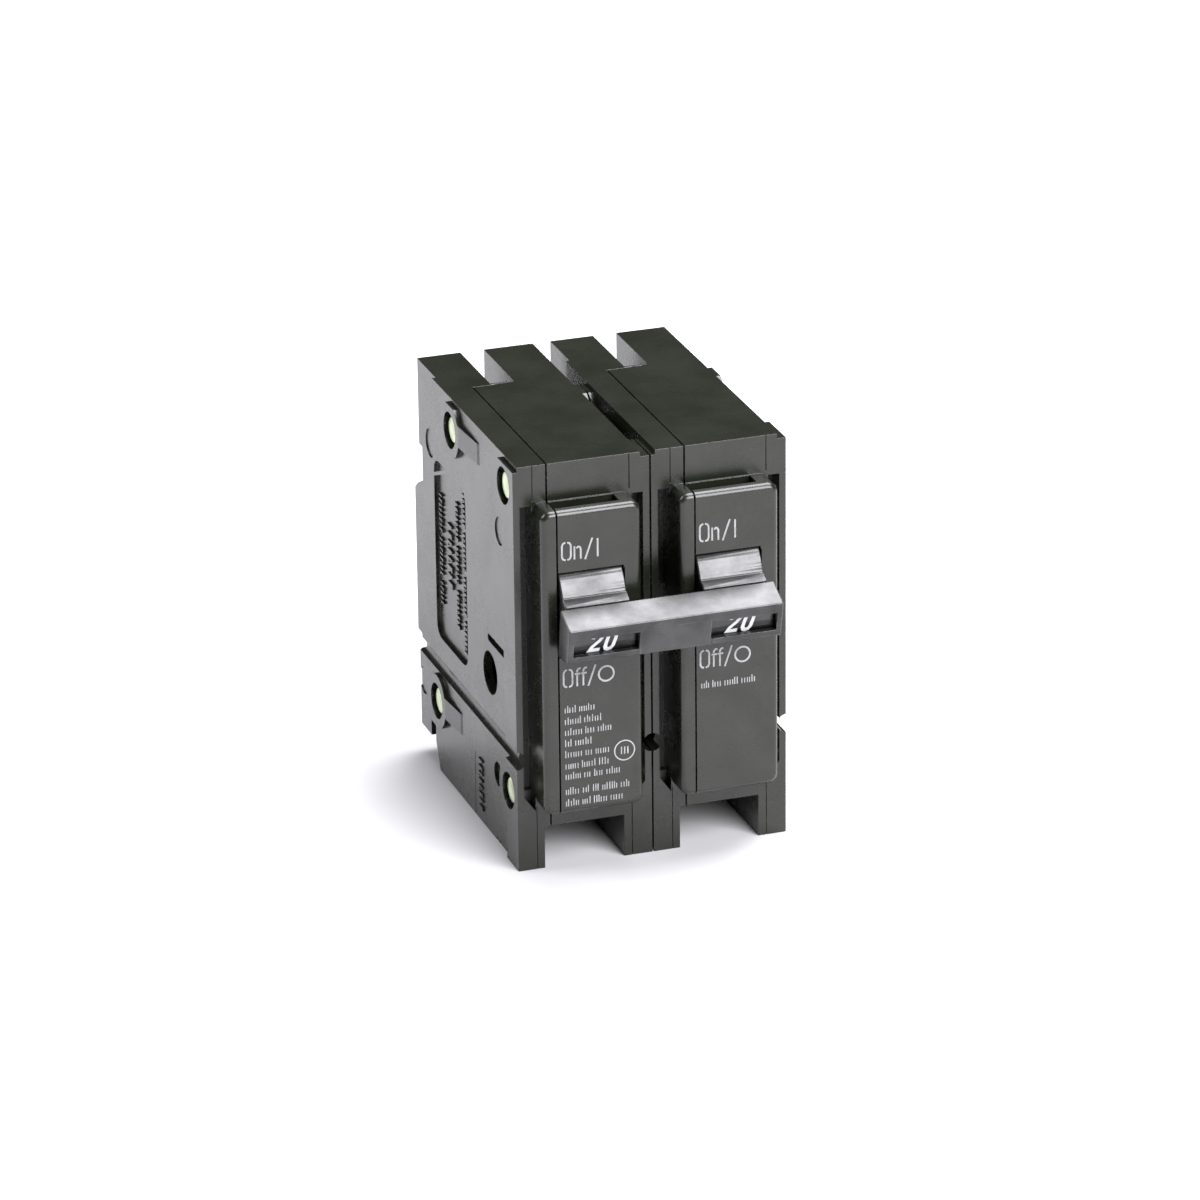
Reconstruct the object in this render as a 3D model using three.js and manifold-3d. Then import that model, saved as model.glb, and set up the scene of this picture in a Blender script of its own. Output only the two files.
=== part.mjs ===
// Two-pole plug-on circuit breaker with a common trip, in millimetres, +Z up.
// The front faces -Y, the line jaws are at the rear top and the load terminals at the bottom.
// Every profile is drawn in one pole's own coordinates: X from its left side, Y back from the
// front band, Z up from the feet. The whole group is then centred over its footprint.
import * as THREE from 'three';
import { mergeVertices } from 'three/addons/utils/BufferGeometryUtils.js';
import Module from 'manifold-3d';

const wasm = await Module();
wasm.setup();

// Overall sizes
const POLE_PITCH = 25.4;
const POLES = ['left', 'right'];
const HEIGHT = 76.5;
const REAR_Y = 60;
const GAP = 0.3;
const HALF_GAP = GAP / 2;

// Case mouldings
const PARTING_X = 6.3;
const LEFT_FACE_X = 0.9;
const RIGHT_FACE_X = 23.6;
const FRONT_RIM = 6.5;
const BOSS_RADIUS = 5.2;
const COUNTERBORE_RADIUS = 3.35;
const COUNTERBORE_FLOOR_X = 1.9;
const TAIL_RECESS = { floorX: 23.3, radius: 3 };
const LEG_TOP = 8;
const LEG_IN = 5.1;
const LEG_OUT = 20;
const POCKET = { y0: 18.5, y1: 37, top: 14 };
const CAVITY = { x0: 2.6, x1: 21.2 };
const NOSE = { x0: 3.5, x1: 21.9, z0: 12.3, z1: 69.5, out: 5.5, round: 1.1, corner: 0.8 };
const SLOT = { x0: 9.8, x1: 14.3, y: 41.3, z: 58 };
const PASSAGE = { z: 21.2, radius: 1.65 };
const CHANNEL = { width: 2.1, depth: 3.5, z0: 14.3, z1: 69, toe: 11.2 };
const LEGEND_RECESS = { y0: 29.8, y1: 48.2, z0: 27, z1: 61.5, round: 3, floorX: 1.6 };
const BOSS_TOP = 75.6;

// Rivets that hold both poles together: [y, z]
const RIVET_SPOTS = [[5.4, 71.4], [36, 70.9], [5.2, 13.6], [47.1, 14.2]];
const RIVET = { shank: 1.45, head: 2.4, headX: 0.7, tailX: 50.3, headLength: 0.9 };

// Handle: it turns about X through PIVOT, and at rest its lever points down by LEVER_DIP
const PIVOT = { y: 3, z: 50.15 };
const HANDLE = { x0: 6.5, x1: 18.4, cheek: 1.8, barrel: 10.9, shell: 2 };
const LEVER_DIP = 9.5;
const SHIELD_FROM = 125;
const SHIELD_TO = 262;
const SHIELD_STEPS = 14;
const LEVER = { root: 9.2, topEnd: 15.75, lowEnd: 15.5, half: 4.78, halfAt: 11.87, taper: 0.2726 };
const HANDLE_WINDOW = { z0: 42.2, z1: 58.1 };
const RELIEF_RADIUS = 11.3;
const ARM_HANG = { radius: 9, angle: 14, link: 2.9, eye: 2.4 };
const ARM_AXLE = 0.9;
const TRUNNION = 1.6;
const TRUNNION_X = [5.3, 20.3];
const TRUNNION_BOSS = 3.4;

// Handle tie
const TIE = { x0: 5.4, x1: 44.9, u0: 11.8, front: 17, lean: 0.2, wall: 1.1 };
const TIE_WINDOW = { v0: -2.2, v1: 1.4, side: 0.1 };

// Mechanism
const ARM = { x0: 11.1, x1: 13.3, dip: 8, tipBend: 22 };
const HOOK_PIN = 0.7;
const CRADLE = { x0: 14.2, x1: 15.4, y: 30, z: 62 };
const CRADLE_HOOK = { y: 5.2, z: 50 };
const ARM_HOOK_REACH = 13;
const CROSSBAR = { y: 16.9, z: 31.5, radius: 2.4, x0: 4, x1: 46.6, hole: 3.9 };
const ARMATURE = { y0: 19.9, y1: 21.1, z0: 22, z1: 44, window: [37.3, 40.75] };
const SCREW = {
  x: 12.55, z: 5.6, head: 3.4, shank: 2, clearance: 2.3, y0: 19.4, neckY: 22.2, y1: 33.6, reliefY: 40,
};
const CALIBRATION_Z = 21;
const ARC_PLATES = { count: 4, z: 43.4, pitch: 2.6 };
const JAW = { x0: 10.2, x1: 13.9 };
const CRADLE_PIN = 1.2;
const STRAP = { y0: 31, y1: 32.5, x0: 8.2, x1: 16.9 };

const DEGREE = Math.PI / 180;
const X_AXIS = new THREE.Vector3(1, 0, 0);

// Finishes
const FINISHES = {
  moulding: { color: 0x2b2c28, roughness: 0.42, metalness: 0 },
  handle: { color: 0x1f201e, roughness: 0.35, metalness: 0 },
  copper: { color: 0xb5693f, roughness: 0.35, metalness: 1 },
  steel: { color: 0x9a9c98, roughness: 0.4, metalness: 1 },
  silver: { color: 0xd8d8d4, roughness: 0.3, metalness: 1 },
  fibre: { color: 0x8c4b33, roughness: 0.8, metalness: 0 },
};

// ---- Solids -----------------------------------------------------------------------------

function solid(geometry) {
  geometry.deleteAttribute('normal');
  geometry.deleteAttribute('uv');
  const merged = mergeVertices(geometry, 1e-4);
  const vertProperties = new Float32Array(merged.attributes.position.array);
  const triVerts = new Uint32Array(merged.index.array);
  return new wasm.Manifold(new wasm.Mesh({ numProp: 3, vertProperties, triVerts }));
}

function toGeometry(manifold) {
  const mesh = manifold.getMesh();
  const geometry = new THREE.BufferGeometry();
  geometry.setAttribute('position', new THREE.BufferAttribute(mesh.vertProperties, 3));
  geometry.setIndex(new THREE.BufferAttribute(mesh.triVerts, 1));
  geometry.computeVertexNormals();
  return geometry;
}

function join(first, ...others) {
  return others.reduce((sum, other) => sum.add(other), first);
}

function cut(body, ...tools) {
  return tools.reduce((rest, tool) => rest.subtract(tool), body);
}

function box(x0, x1, y0, y1, z0, z1) {
  const geometry = new THREE.BoxGeometry(x1 - x0, y1 - y0, z1 - z0);
  geometry.translate((x0 + x1) / 2, (y0 + y1) / 2, (z0 + z1) / 2);
  return solid(geometry);
}

// An outline of [y, z] points, carried along X.
function slab(points, x0, x1) {
  const shape = new THREE.Shape(points.map(([y, z]) => new THREE.Vector2(y, z)));
  return slabOfShape(shape, x0, x1);
}

function slabOfShape(shape, x0, x1) {
  const geometry = new THREE.ExtrudeGeometry(shape, {
    depth: x1 - x0, bevelEnabled: false, curveSegments: 4,
  });
  const toYzx = new THREE.Matrix4().makeBasis(
    new THREE.Vector3(0, 1, 0), new THREE.Vector3(0, 0, 1), X_AXIS);
  geometry.applyMatrix4(toYzx);
  geometry.translate(x0, 0, 0);
  return solid(geometry);
}

function roundedRectangle(u0, u1, v0, v1, round) {
  const shape = new THREE.Shape();
  shape.moveTo(u0 + round, v0);
  shape.lineTo(u1 - round, v0);
  shape.quadraticCurveTo(u1, v0, u1, v0 + round);
  shape.lineTo(u1, v1 - round);
  shape.quadraticCurveTo(u1, v1, u1 - round, v1);
  shape.lineTo(u0 + round, v1);
  shape.quadraticCurveTo(u0, v1, u0, v1 - round);
  shape.lineTo(u0, v0 + round);
  shape.quadraticCurveTo(u0, v0, u0 + round, v0);
  return shape;
}

// A shape drawn in [x, z], carried along Y from y0 to y1, with rounded rims if round is set.
function slabAlongY(shape, y0, y1, round = 0) {
  const geometry = new THREE.ExtrudeGeometry(shape, {
    depth: y1 - y0 - 2 * round, bevelEnabled: round > 0, bevelThickness: round, bevelSize: round,
    bevelSegments: 3, curveSegments: 3,
  });
  geometry.rotateX(Math.PI / 2);
  geometry.translate(0, y1 - round, 0);
  return solid(geometry);
}

// A round bar along X or Y; centre holds the other two coordinates.
function rod(axis, from, to, centre, radius, sides = 16) {
  const geometry = new THREE.CylinderGeometry(radius, radius, to - from, sides);
  const middle = (from + to) / 2;
  if (axis === 'x') {
    geometry.rotateZ(-Math.PI / 2);
    geometry.translate(middle, centre[0], centre[1]);
  } else {
    geometry.translate(centre[0], middle, centre[1]);
  }
  return solid(geometry);
}

// Points on an arc in the YZ plane about the handle's pivot.
function arc(radius, from, to, steps) {
  const points = [];
  for (let i = 0; i <= steps; i++) {
    const angle = (from + (to - from) * i / steps) * DEGREE;
    points.push([PIVOT.y + radius * Math.cos(angle), PIVOT.z + radius * Math.sin(angle)]);
  }
  return points;
}

// A point of the lever: u out along it from the pivot, v square to it and upwards.
function onLever(u, v) {
  const dip = LEVER_DIP * DEGREE;
  return [
    PIVOT.y - u * Math.cos(dip) - v * Math.sin(dip),
    PIVOT.z - u * Math.sin(dip) + v * Math.cos(dip),
  ];
}

// Half the lever's height where it is u out from the pivot.
function leverHalf(u) {
  return LEVER.half - LEVER.taper * (u - LEVER.halfAt);
}

function armPivot() {
  const angle = ARM_HANG.angle * DEGREE;
  return [PIVOT.y + ARM_HANG.radius * Math.cos(angle), PIVOT.z + ARM_HANG.radius * Math.sin(angle)];
}

// A point of the contact arm: s along it from its axle, t square to it and upwards.
function onArm(s, t) {
  const [y, z] = armPivot();
  const dip = ARM.dip * DEGREE;
  return [y + s * Math.cos(dip) + t * Math.sin(dip), z - s * Math.sin(dip) + t * Math.cos(dip)];
}

// ---- Case mouldings ---------------------------------------------------------------------

function sideOutline() {
  return [
    [0, 0], [48, 0], [50.3, 5], [50.3, 8], [53, 8], [53, 5], [59, 5], [59, 20], [57.6, 20],
    [57.6, 23.5], [REAR_Y, 23.5], [REAR_Y, 51.5], [57.4, 53.5], [57.4, 60], [59.3, 60],
    [59.3, HEIGHT], [0, HEIGHT],
  ];
}

// The nose, with rounded front edges and corners.
function noseBlock() {
  const { x0, x1, z0, z1, out, round, corner } = NOSE;
  const shape = roundedRectangle(x0 + round, x1 - round, z0 + round, z1 - round, corner);
  return slabAlongY(shape, -out, 2 * round, round);
}

// The side faces stand back between the front rim and the rivet bosses, and along their top.
function sideRecess(x0, x1) {
  const slabAlong = box(x0, x1, FRONT_RIM, REAR_Y + 1, -1, HEIGHT + 1);
  const bosses = RIVET_SPOTS.map((spot) => rod('x', x0 - 1, x1 + 1, spot, BOSS_RADIUS, 24));
  const topStrip = box(x0, x1, -1, REAR_Y + 1, BOSS_TOP, HEIGHT + 1);
  return join(cut(slabAlong, ...bosses), topStrip);
}

// A ramp runs forward and down from a rivet boss into the left face.
function bossRamp(y0, y1, z0, z1) {
  const shape = new THREE.Shape([
    new THREE.Vector2(LEFT_FACE_X + 0.2, y0 - 1.5), new THREE.Vector2(LEFT_FACE_X + 0.2, y1 + 3),
    new THREE.Vector2(HALF_GAP, y1 + 1), new THREE.Vector2(HALF_GAP, y1 - 1),
    new THREE.Vector2(LEFT_FACE_X - 0.2, y0),
  ]);
  const geometry = new THREE.ExtrudeGeometry(shape, { depth: z1 - z0, bevelEnabled: false });
  geometry.translate(0, 0, z0);
  return solid(geometry);
}

// The left face's legend panel, and the shallow corner behind and above it.
function legendRecess() {
  const { y0, y1, z0, z1, round, floorX } = LEGEND_RECESS;
  const panel = slabOfShape(roundedRectangle(y0, y1, z0, z1, round), -1, floorX);
  const corner = slab([
    [y1, HEIGHT + 1], [y1, 57.8], [REAR_Y + 1, 51.5], [REAR_Y + 1, HEIGHT + 1],
  ], -1, floorX);
  return join(panel, corner);
}

// A channel beside the nose, with a slanted toe; near is its side at the nose.
function channel(near, far) {
  const { depth, z0, z1, toe } = CHANNEL;
  const slot = box(Math.min(near, far), Math.max(near, far), -1, depth, z0, z1);
  const slant = new THREE.Shape([
    new THREE.Vector2(near, z0 + 1), new THREE.Vector2(far, z0 + 1),
    new THREE.Vector2(far, z0 - 0.2), new THREE.Vector2(near, toe),
  ]);
  return join(slot, slabAlongY(slant, -1, depth - 0.8));
}

// Room for the mechanism behind the front band, and behind the nose.
function cavity() {
  const main = slab([
    [6, 16.5], [56.5, 16.5], [56.5, 50.8], [54.6, 52.6], [54.6, 55.8], [39.2, 55.8],
    [39.2, 74.2], [10.9, 74.2], [10.9, 66.5], [6, 66.5],
  ], CAVITY.x0, CAVITY.x1);
  const behindNose = box(5.2, 20.2, -3.3, 6.5, 32, 67);
  return join(main, behindNose);
}

function poleMoulding() {
  const block = slab(sideOutline(), HALF_GAP, POLE_PITCH - HALF_GAP);
  const faced = cut(block,
    sideRecess(-1, LEFT_FACE_X),
    sideRecess(RIGHT_FACE_X, POLE_PITCH + 1));
  const ramps = [bossRamp(21.7, 31.8, 69.4, 73.4), bossRamp(34.5, 43, 12.6, 16.6)];
  const whole = join(faced, noseBlock(), ...ramps);
  const sideHoles = [0, POLE_PITCH].map((x) => rod('y', -1, REAR_Y + 1, [x, PASSAGE.z], PASSAGE.radius));
  const channels = [
    channel(NOSE.x0, NOSE.x0 - CHANNEL.width), channel(NOSE.x1, NOSE.x1 + CHANNEL.width)];
  const rivetHoles = RIVET_SPOTS.map((spot) => rod('x', -1, POLE_PITCH + 1, spot, RIVET.shank + GAP, 12));
  const counterbores = RIVET_SPOTS.map(
    (spot) => rod('x', -1, COUNTERBORE_FLOOR_X, spot, COUNTERBORE_RADIUS, 20));
  const tailRecesses = RIVET_SPOTS.map(
    (spot) => rod('x', TAIL_RECESS.floorX, POLE_PITCH + 1, spot, TAIL_RECESS.radius, 16));
  return cut(whole,
    cavity(),
    box(LEG_IN, LEG_OUT, -1, POCKET.y1, -1, LEG_TOP),
    box(LEG_IN, LEG_OUT, POCKET.y0, POCKET.y1, -1, POCKET.top),
    box(STRAP.x0 - GAP, STRAP.x1 + GAP, STRAP.y0 - GAP, STRAP.y1 + GAP, 13, 17.5),
    box(SLOT.x0, SLOT.x1, SLOT.y, REAR_Y + 1, SLOT.z, HEIGHT + 1),
    rod('y', POCKET.y1 - 1, SCREW.reliefY, [SCREW.x, SCREW.z], SCREW.shank + 0.5),
    box(JAW.x0 - GAP, JAW.x1 + GAP, SLOT.y - 3.3, SLOT.y + 0.7, 60.4, 62.5),
    box(PARTING_X, 18.5, -NOSE.out - 1, -2, HANDLE_WINDOW.z0, HANDLE_WINDOW.z1),
    rod('x', HANDLE.x0 - GAP, HANDLE.x1 + GAP, [PIVOT.y, PIVOT.z], RELIEF_RADIUS, 40),
    box(PARTING_X, HANDLE.x1, -3.6, -0.3, 66, 71),
    legendRecess(),
    box(-1, LEFT_FACE_X + 1.2, 6.9, 17.4, 37.5, 38.8),
    rod('x', -1, POLE_PITCH + 1, [CROSSBAR.y, CROSSBAR.z], CROSSBAR.hole, 20),
    ...sideHoles, ...channels, ...rivetHoles, ...counterbores, ...tailRecesses);
}

// Everything left of the parting line, and the left ear beside the jaw slot.
function coverSide(x) {
  const plate = box(-1, PARTING_X + x, -10, REAR_Y + 2, -1, HEIGHT + 1);
  const ear = box(-1, SLOT.x0 + 1, SLOT.y - 0.3 - x, REAR_Y + 2, SLOT.z - x, HEIGHT + 1);
  return join(plate, ear);
}

// A sleeve inside the case for the handle's trunnion.
function trunnionBoss(x0, x1) {
  return rod('x', x0, x1, [PIVOT.y + 0.2, PIVOT.z], TRUNNION_BOSS);
}

function trunnionHole(x0, x1) {
  return rod('x', x0, x1, [PIVOT.y, PIVOT.z], TRUNNION + GAP);
}

function cover(moulding) {
  const shell = join(moulding.intersect(coverSide(-HALF_GAP)), trunnionBoss(5, PARTING_X - HALF_GAP));
  return cut(shell, trunnionHole(4, 7));
}

function caseHalf(moulding, isLast) {
  const shell = cut(moulding, coverSide(HALF_GAP));
  const cradleBoss = rod('x', CRADLE.x1 + GAP, CAVITY.x1 + 1, [CRADLE.y, CRADLE.z], 2.6);
  const withBosses = join(shell, trunnionBoss(18.7, 21), cradleBoss);
  const pinHole = rod('x', 15, 19.5, [CRADLE.y, CRADLE.z], CRADLE_PIN + GAP, 12);
  const holed = cut(withBosses, trunnionHole(18, 20.6), pinHole);
  if (!isLast) return holed;
  // The outer wall of the last pole closes the trip bar's hole.
  return join(holed, rod('x', 22.2, 23.3, [CROSSBAR.y, CROSSBAR.z], CROSSBAR.hole + 0.4, 20));
}

// ---- Handle and tie ---------------------------------------------------------------------

function handle() {
  const { x0, x1, cheek, barrel, shell } = HANDLE;
  const centre = [PIVOT.y, PIVOT.z];
  const outside = arc(barrel, SHIELD_FROM, SHIELD_TO, SHIELD_STEPS);
  const inside = arc(barrel - shell, SHIELD_TO, SHIELD_FROM, SHIELD_STEPS);
  const sector = [...outside, centre];
  const ring = [...outside, ...inside];
  const hang = armPivot();
  const hangLink = linkOutline(centre, hang, ARM_HANG.link);
  const cheeks = [[x0, x0 + cheek], [x1 - cheek, x1]].map(([a, b]) => join(
    slab(sector, a, b),
    rod('x', a, b, centre, TRUNNION_BOSS),
    slab(hangLink, a, b),
    rod('x', a, b, hang, ARM_HANG.eye, 12)));
  const { root, topEnd, lowEnd } = LEVER;
  const neck = TIE.u0 - GAP;
  const inset = TIE.wall + GAP;
  const lever = slab([
    onLever(root, leverHalf(root)), onLever(neck, leverHalf(neck)),
    onLever(neck, leverHalf(TIE.u0) - inset), onLever(topEnd, leverHalf(topEnd) - inset),
    onLever(lowEnd, -leverHalf(lowEnd) + inset), onLever(neck, -leverHalf(TIE.u0) + inset),
    onLever(neck, -leverHalf(neck)), onLever(root, -leverHalf(root)),
  ], x0, x1);
  const body = join(slab(ring, x0, x1), ...cheeks, lever,
    rod('x', TRUNNION_X[0], x0 + 0.1, centre, TRUNNION),
    rod('x', x1 - 0.1, TRUNNION_X[1], centre, TRUNNION));
  return cut(body, rod('x', x0 - 1, x1 + 1, hang, ARM_AXLE + GAP, 12));
}

// A straight bar of the given half width between two points.
function linkOutline([y0, z0], [y1, z1], half) {
  const length = Math.hypot(y1 - y0, z1 - z0);
  const across = [-(z1 - z0) / length * half, (y1 - y0) / length * half];
  return [
    [y0 - across[0], z0 - across[1]], [y1 - across[0] * 0.8, z1 - across[1] * 0.8],
    [y1 + across[0] * 0.8, z1 + across[1] * 0.8], [y0 + across[0], z0 + across[1]],
  ];
}

function handleTie() {
  const { front } = TIE;
  const section = (wall, from, to) => [
    onLever(from, leverHalf(from) - wall), onLever(to + TIE.lean, leverHalf(to) - wall),
    onLever(to - TIE.lean, -leverHalf(to) + wall), onLever(from, -leverHalf(from) + wall),
  ];
  const bar = slab(section(0, TIE.u0, front), TIE.x0, TIE.x1);
  const cuts = POLES.flatMap((_, index) => {
    const shift = index * POLE_PITCH;
    const x0 = HANDLE.x0 + shift;
    const x1 = HANDLE.x1 + shift;
    const window = [
      onLever(15, TIE_WINDOW.v1), onLever(front + 1, TIE_WINDOW.v1),
      onLever(front + 1, TIE_WINDOW.v0), onLever(15, TIE_WINDOW.v0),
    ];
    return [
      slab(section(TIE.wall, TIE.u0 - 1, front - 0.95), x0 - GAP, x1 + GAP),
      slab(window, x0 - TIE_WINDOW.side, x1 + TIE_WINDOW.side),
    ];
  });
  return cut(bar, ...cuts);
}

// ---- Contacts and arc chute -------------------------------------------------------------

function contactArm() {
  const bend = Math.tan(ARM.tipBend * DEGREE);
  const blade = slab([
    onArm(-2, -1.9), onArm(4, -2.2), onArm(19.6, -1.3), onArm(25.9, -1.3 - 6.3 * bend),
    onArm(26.7, 1.2 - 6.4 * bend), onArm(20.3, 1.2), onArm(4, 2.2), onArm(-2, 1.9),
  ], ARM.x0, ARM.x1);
  return join(blade,
    rod('x', 7, 17.9, armPivot(), ARM_AXLE, 10),
    rod('x', 8.9, ARM.x0 + 0.5, onArm(ARM_HOOK_REACH, 0), HOOK_PIN, 8));
}

function movingContact() {
  const bend = ARM.tipBend * DEGREE;
  const foot = onArm(23.5, 1.2 - 3.2 * Math.tan(bend));
  const rise = (along, up) => {
    const angle = -(ARM.dip + ARM.tipBend) * DEGREE;
    return [
      foot[0] + along * Math.cos(angle) - up * Math.sin(angle),
      foot[1] + along * Math.sin(angle) + up * Math.cos(angle),
    ];
  };
  return slab([
    rise(-1.8, GAP), rise(1.8, GAP), rise(1.8, GAP + 0.8), rise(1.2, GAP + 1.2), rise(-1.2, GAP + 1.2),
    rise(-1.8, GAP + 0.8),
  ], 10.6, 13.8);
}

function stationaryContact() {
  return slab([
    [32, 60.4], [31.8, 59.8], [32.4, 59.4], [35, 59.4], [35.6, 59.8], [35.4, 60.4],
  ], 10.6, 13.5);
}

// The line strap holds the stationary contact, and ends in the jaw that grips the stab.
function lineJaw() {
  const strap = box(JAW.x0, JAW.x1, 30.8, 43.2, 60.7, 62.2);
  const bridge = box(JAW.x0, JAW.x1, 41.8, 43.2, 60.7, 75.4);
  const finger = (x0, side) => {
    const shape = new THREE.Shape([
      new THREE.Vector2(x0, 42), new THREE.Vector2(x0 + 0.9, 42),
      new THREE.Vector2(x0 + 0.9 + side * 0.5, 47.5), new THREE.Vector2(x0 + 0.9 - side * 0.2, 50.6),
      new THREE.Vector2(x0 - side * 0.2, 50.6), new THREE.Vector2(x0 + side * 0.5, 47.5),
    ]);
    const geometry = new THREE.ExtrudeGeometry(shape, { depth: 8.2, bevelEnabled: false });
    geometry.translate(0, 0, 61.2);
    return solid(geometry);
  };
  return join(strap, bridge, finger(10.6, 1), finger(12.6, -1));
}

// A flat spring clip around the jaw's bridge.
function jawSpring() {
  const back = box(JAW.x0, JAW.x1, 43.6, 44.3, 70.2, 75.6);
  const inner = box(11.2, 12.9, 43.6, 46.2, 70.2, 71);
  return join(back, inner);
}

function arcPlate(index) {
  const z = ARC_PLATES.z + index * ARC_PLATES.pitch;
  const plate = box(8.3, 15.9, 39.4, 48, z, z + 1);
  const notch = box(10.6, 13.8, 39, 42, z - 1, z + 2);
  return cut(plate, notch);
}

function arcHolder() {
  const outer = box(7.2, 17, 39.4, 49.4, 42.2, 54.6);
  const inner = box(8, 16.2, 38, 48.3, 41, 56);
  return cut(outer, inner);
}

// ---- Trip parts -------------------------------------------------------------------------

function cradle() {
  const plate = slab([
    [32.4, 61.2], [32, 63.8], [29.6, 64.6], [9, 62.6], [4.6, 59.6], [3.7, 56], [3.7, 46],
    [4.6, 40.8], [6.2, 39.4], [19.5, 39.4], [19.5, 40.95], [8.4, 41.6], [7, 45], [7, 56.4], [9.6, 59.4],
    [28.4, 59.7], [31, 59.6],
  ], CRADLE.x0, CRADLE.x1);
  return join(plate,
    rod('x', 15.2, 19.2, [CRADLE.y, CRADLE.z], CRADLE_PIN, 10),
    rod('x', 8.9, 14.4, [CRADLE_HOOK.y, CRADLE_HOOK.z], HOOK_PIN, 8));
}

// The toggle spring's envelope, with an eye at each end.
function toggleSpring() {
  const hook = onArm(ARM_HOOK_REACH, 0);
  const from = [CRADLE_HOOK.y + 1.6, CRADLE_HOOK.z];
  const to = [hook[0] - 1.6, hook[1]];
  const coil = slab(linkOutline([from[0] + 1, from[1]], [to[0] - 1, to[1]], 1), 9.2, 10.8);
  const eyes = [[CRADLE_HOOK.y, CRADLE_HOOK.z], hook].map((spot) => cut(
    rod('x', 9.7, 10.3, spot, 1.9, 10), rod('x', 9, 11, spot, HOOK_PIN + GAP, 8)));
  const stems = slab(
    linkOutline([CRADLE_HOOK.y + 1.3, CRADLE_HOOK.z], [hook[0] - 1.3, hook[1]], 0.4), 9.7, 10.3);
  return join(coil, ...eyes, stems);
}

function crossbar() {
  const { y, z, radius, x0, x1 } = CROSSBAR;
  const bar = rod('x', x0, x1, [y, z], radius, 16);
  const fingers = POLES.map((_, index) => {
    const shift = index * POLE_PITCH;
    return slab([[y - 1.2, z + 0.5], [y + 1.2, z + 0.5], [y + 1.4, z + 4.7], [y - 0.1, z + 4.7]],
      8.4 + shift, 11.8 + shift);
  });
  return join(bar, ...fingers);
}

function armature() {
  const { y0, y1, z0, z1, window } = ARMATURE;
  const latch = box(CRADLE.x0 - 0.6, CRADLE.x1 + 0.6, y0 - 1, y1 + 1, window[0], window[1]);
  return cut(box(7.8, 16.6, y0, y1, z0, z1), latch);
}

function armatureSpring() {
  return slab([[21.5, 24], [21.8, 24], [23, 33.5], [22.7, 33.5]], 10.8, 13.6);
}

function magnetYoke() {
  const outer = box(7.4, 17, 23.6, 29.2, 25, 35);
  const inner = box(8.9, 15.5, 23, 27.8, 24, 36);
  return cut(outer, inner);
}

function bimetal() {
  return box(9.8, 14.6, 25.4, 26.6, 18.9, 44);
}

// A flexible conductor from the bimetal's top towards the contact arm.
function braid() {
  const path = new THREE.CatmullRomCurve3([
    new THREE.Vector3(12.2, 28, 42.6), new THREE.Vector3(12.2, 30.2, 41.4),
    new THREE.Vector3(12.2, 32.6, 40.8), new THREE.Vector3(12.2, 34.4, 42.6),
    new THREE.Vector3(12.2, 32.4, 45),
  ]);
  const section = new THREE.Shape();
  section.absarc(0, 0, 1.1, 0, Math.PI * 2);
  const geometry = new THREE.ExtrudeGeometry(section, { steps: 10, curveSegments: 4, extrudePath: path });
  return solid(geometry);
}

// ---- Load terminal ----------------------------------------------------------------------

function loadStrap() {
  const { y0, y1, x0, x1 } = STRAP;
  const upright = box(x0, x1, y0, y1, 1.2, 24);
  const foot = box(x0, x1, 24.2, y1, 17.2, 18.6);
  return cut(join(upright, foot),
    rod('y', y0 - 1, y1 + 1, [SCREW.x, SCREW.z], SCREW.clearance),
    rod('y', y0 - 1, y1 + 1, [SCREW.x, CALIBRATION_Z], 1.5, 12));
}

function terminalScrew() {
  const { x, z, head, shank, y0, neckY, y1 } = SCREW;
  const body = join(rod('y', y0, neckY, [x, z], head, 20), rod('y', neckY - 0.2, y1, [x, z], shank, 14));
  return cut(body, box(x - 0.5, x + 0.5, y0 - 1, y0 + 1.2, z - head - 1, z + head + 1));
}

function clampPlate() {
  const plate = slab([
    [22.5, 1.4], [22.5, 10.6], [24, 10.6], [24.6, 10], [24, 9.2], [24, 2.8], [24.6, 2], [24, 1.4],
  ], 6.3, 18.8);
  return cut(plate, rod('y', 21, 26, [SCREW.x, SCREW.z], SCREW.clearance));
}

function calibrationScrew() {
  const axis = [SCREW.x, CALIBRATION_Z];
  return join(rod('y', 26.9, 33.4, axis, 1.15, 10), rod('y', 33.2, 34.6, axis, 2, 6));
}

// ---- Rivets -----------------------------------------------------------------------------

// A tubular rivet along X: formed head on the left, rolled end on the right.
function rivet([y, z]) {
  const { shank, head, headX, tailX, headLength } = RIVET;
  const profile = [
    [0, headX + 0.5], [1, headX + 0.5], [1.3, headX], [head - 0.3, headX], [head, headX + 0.3],
    [head, headX + headLength], [shank, headX + headLength], [shank, tailX - headLength],
    [head - 0.2, tailX - headLength], [head - 0.4, tailX], [0, tailX],
  ];
  const points = profile.map(([r, x]) => new THREE.Vector2(r, x));
  const geometry = new THREE.LatheGeometry(points, 14);
  geometry.rotateZ(-Math.PI / 2);
  geometry.translate(0, y, z);
  return solid(geometry);
}

// ---- Assembly ---------------------------------------------------------------------------

const breaker = new THREE.Group();

function place(name, manifold, finish, shift = 0) {
  const material = new THREE.MeshStandardMaterial(FINISHES[finish]);
  const mesh = new THREE.Mesh(toGeometry(manifold), material);
  mesh.name = name;
  mesh.position.x = shift;
  breaker.add(mesh);
}

const moulding = poleMoulding();

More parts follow.
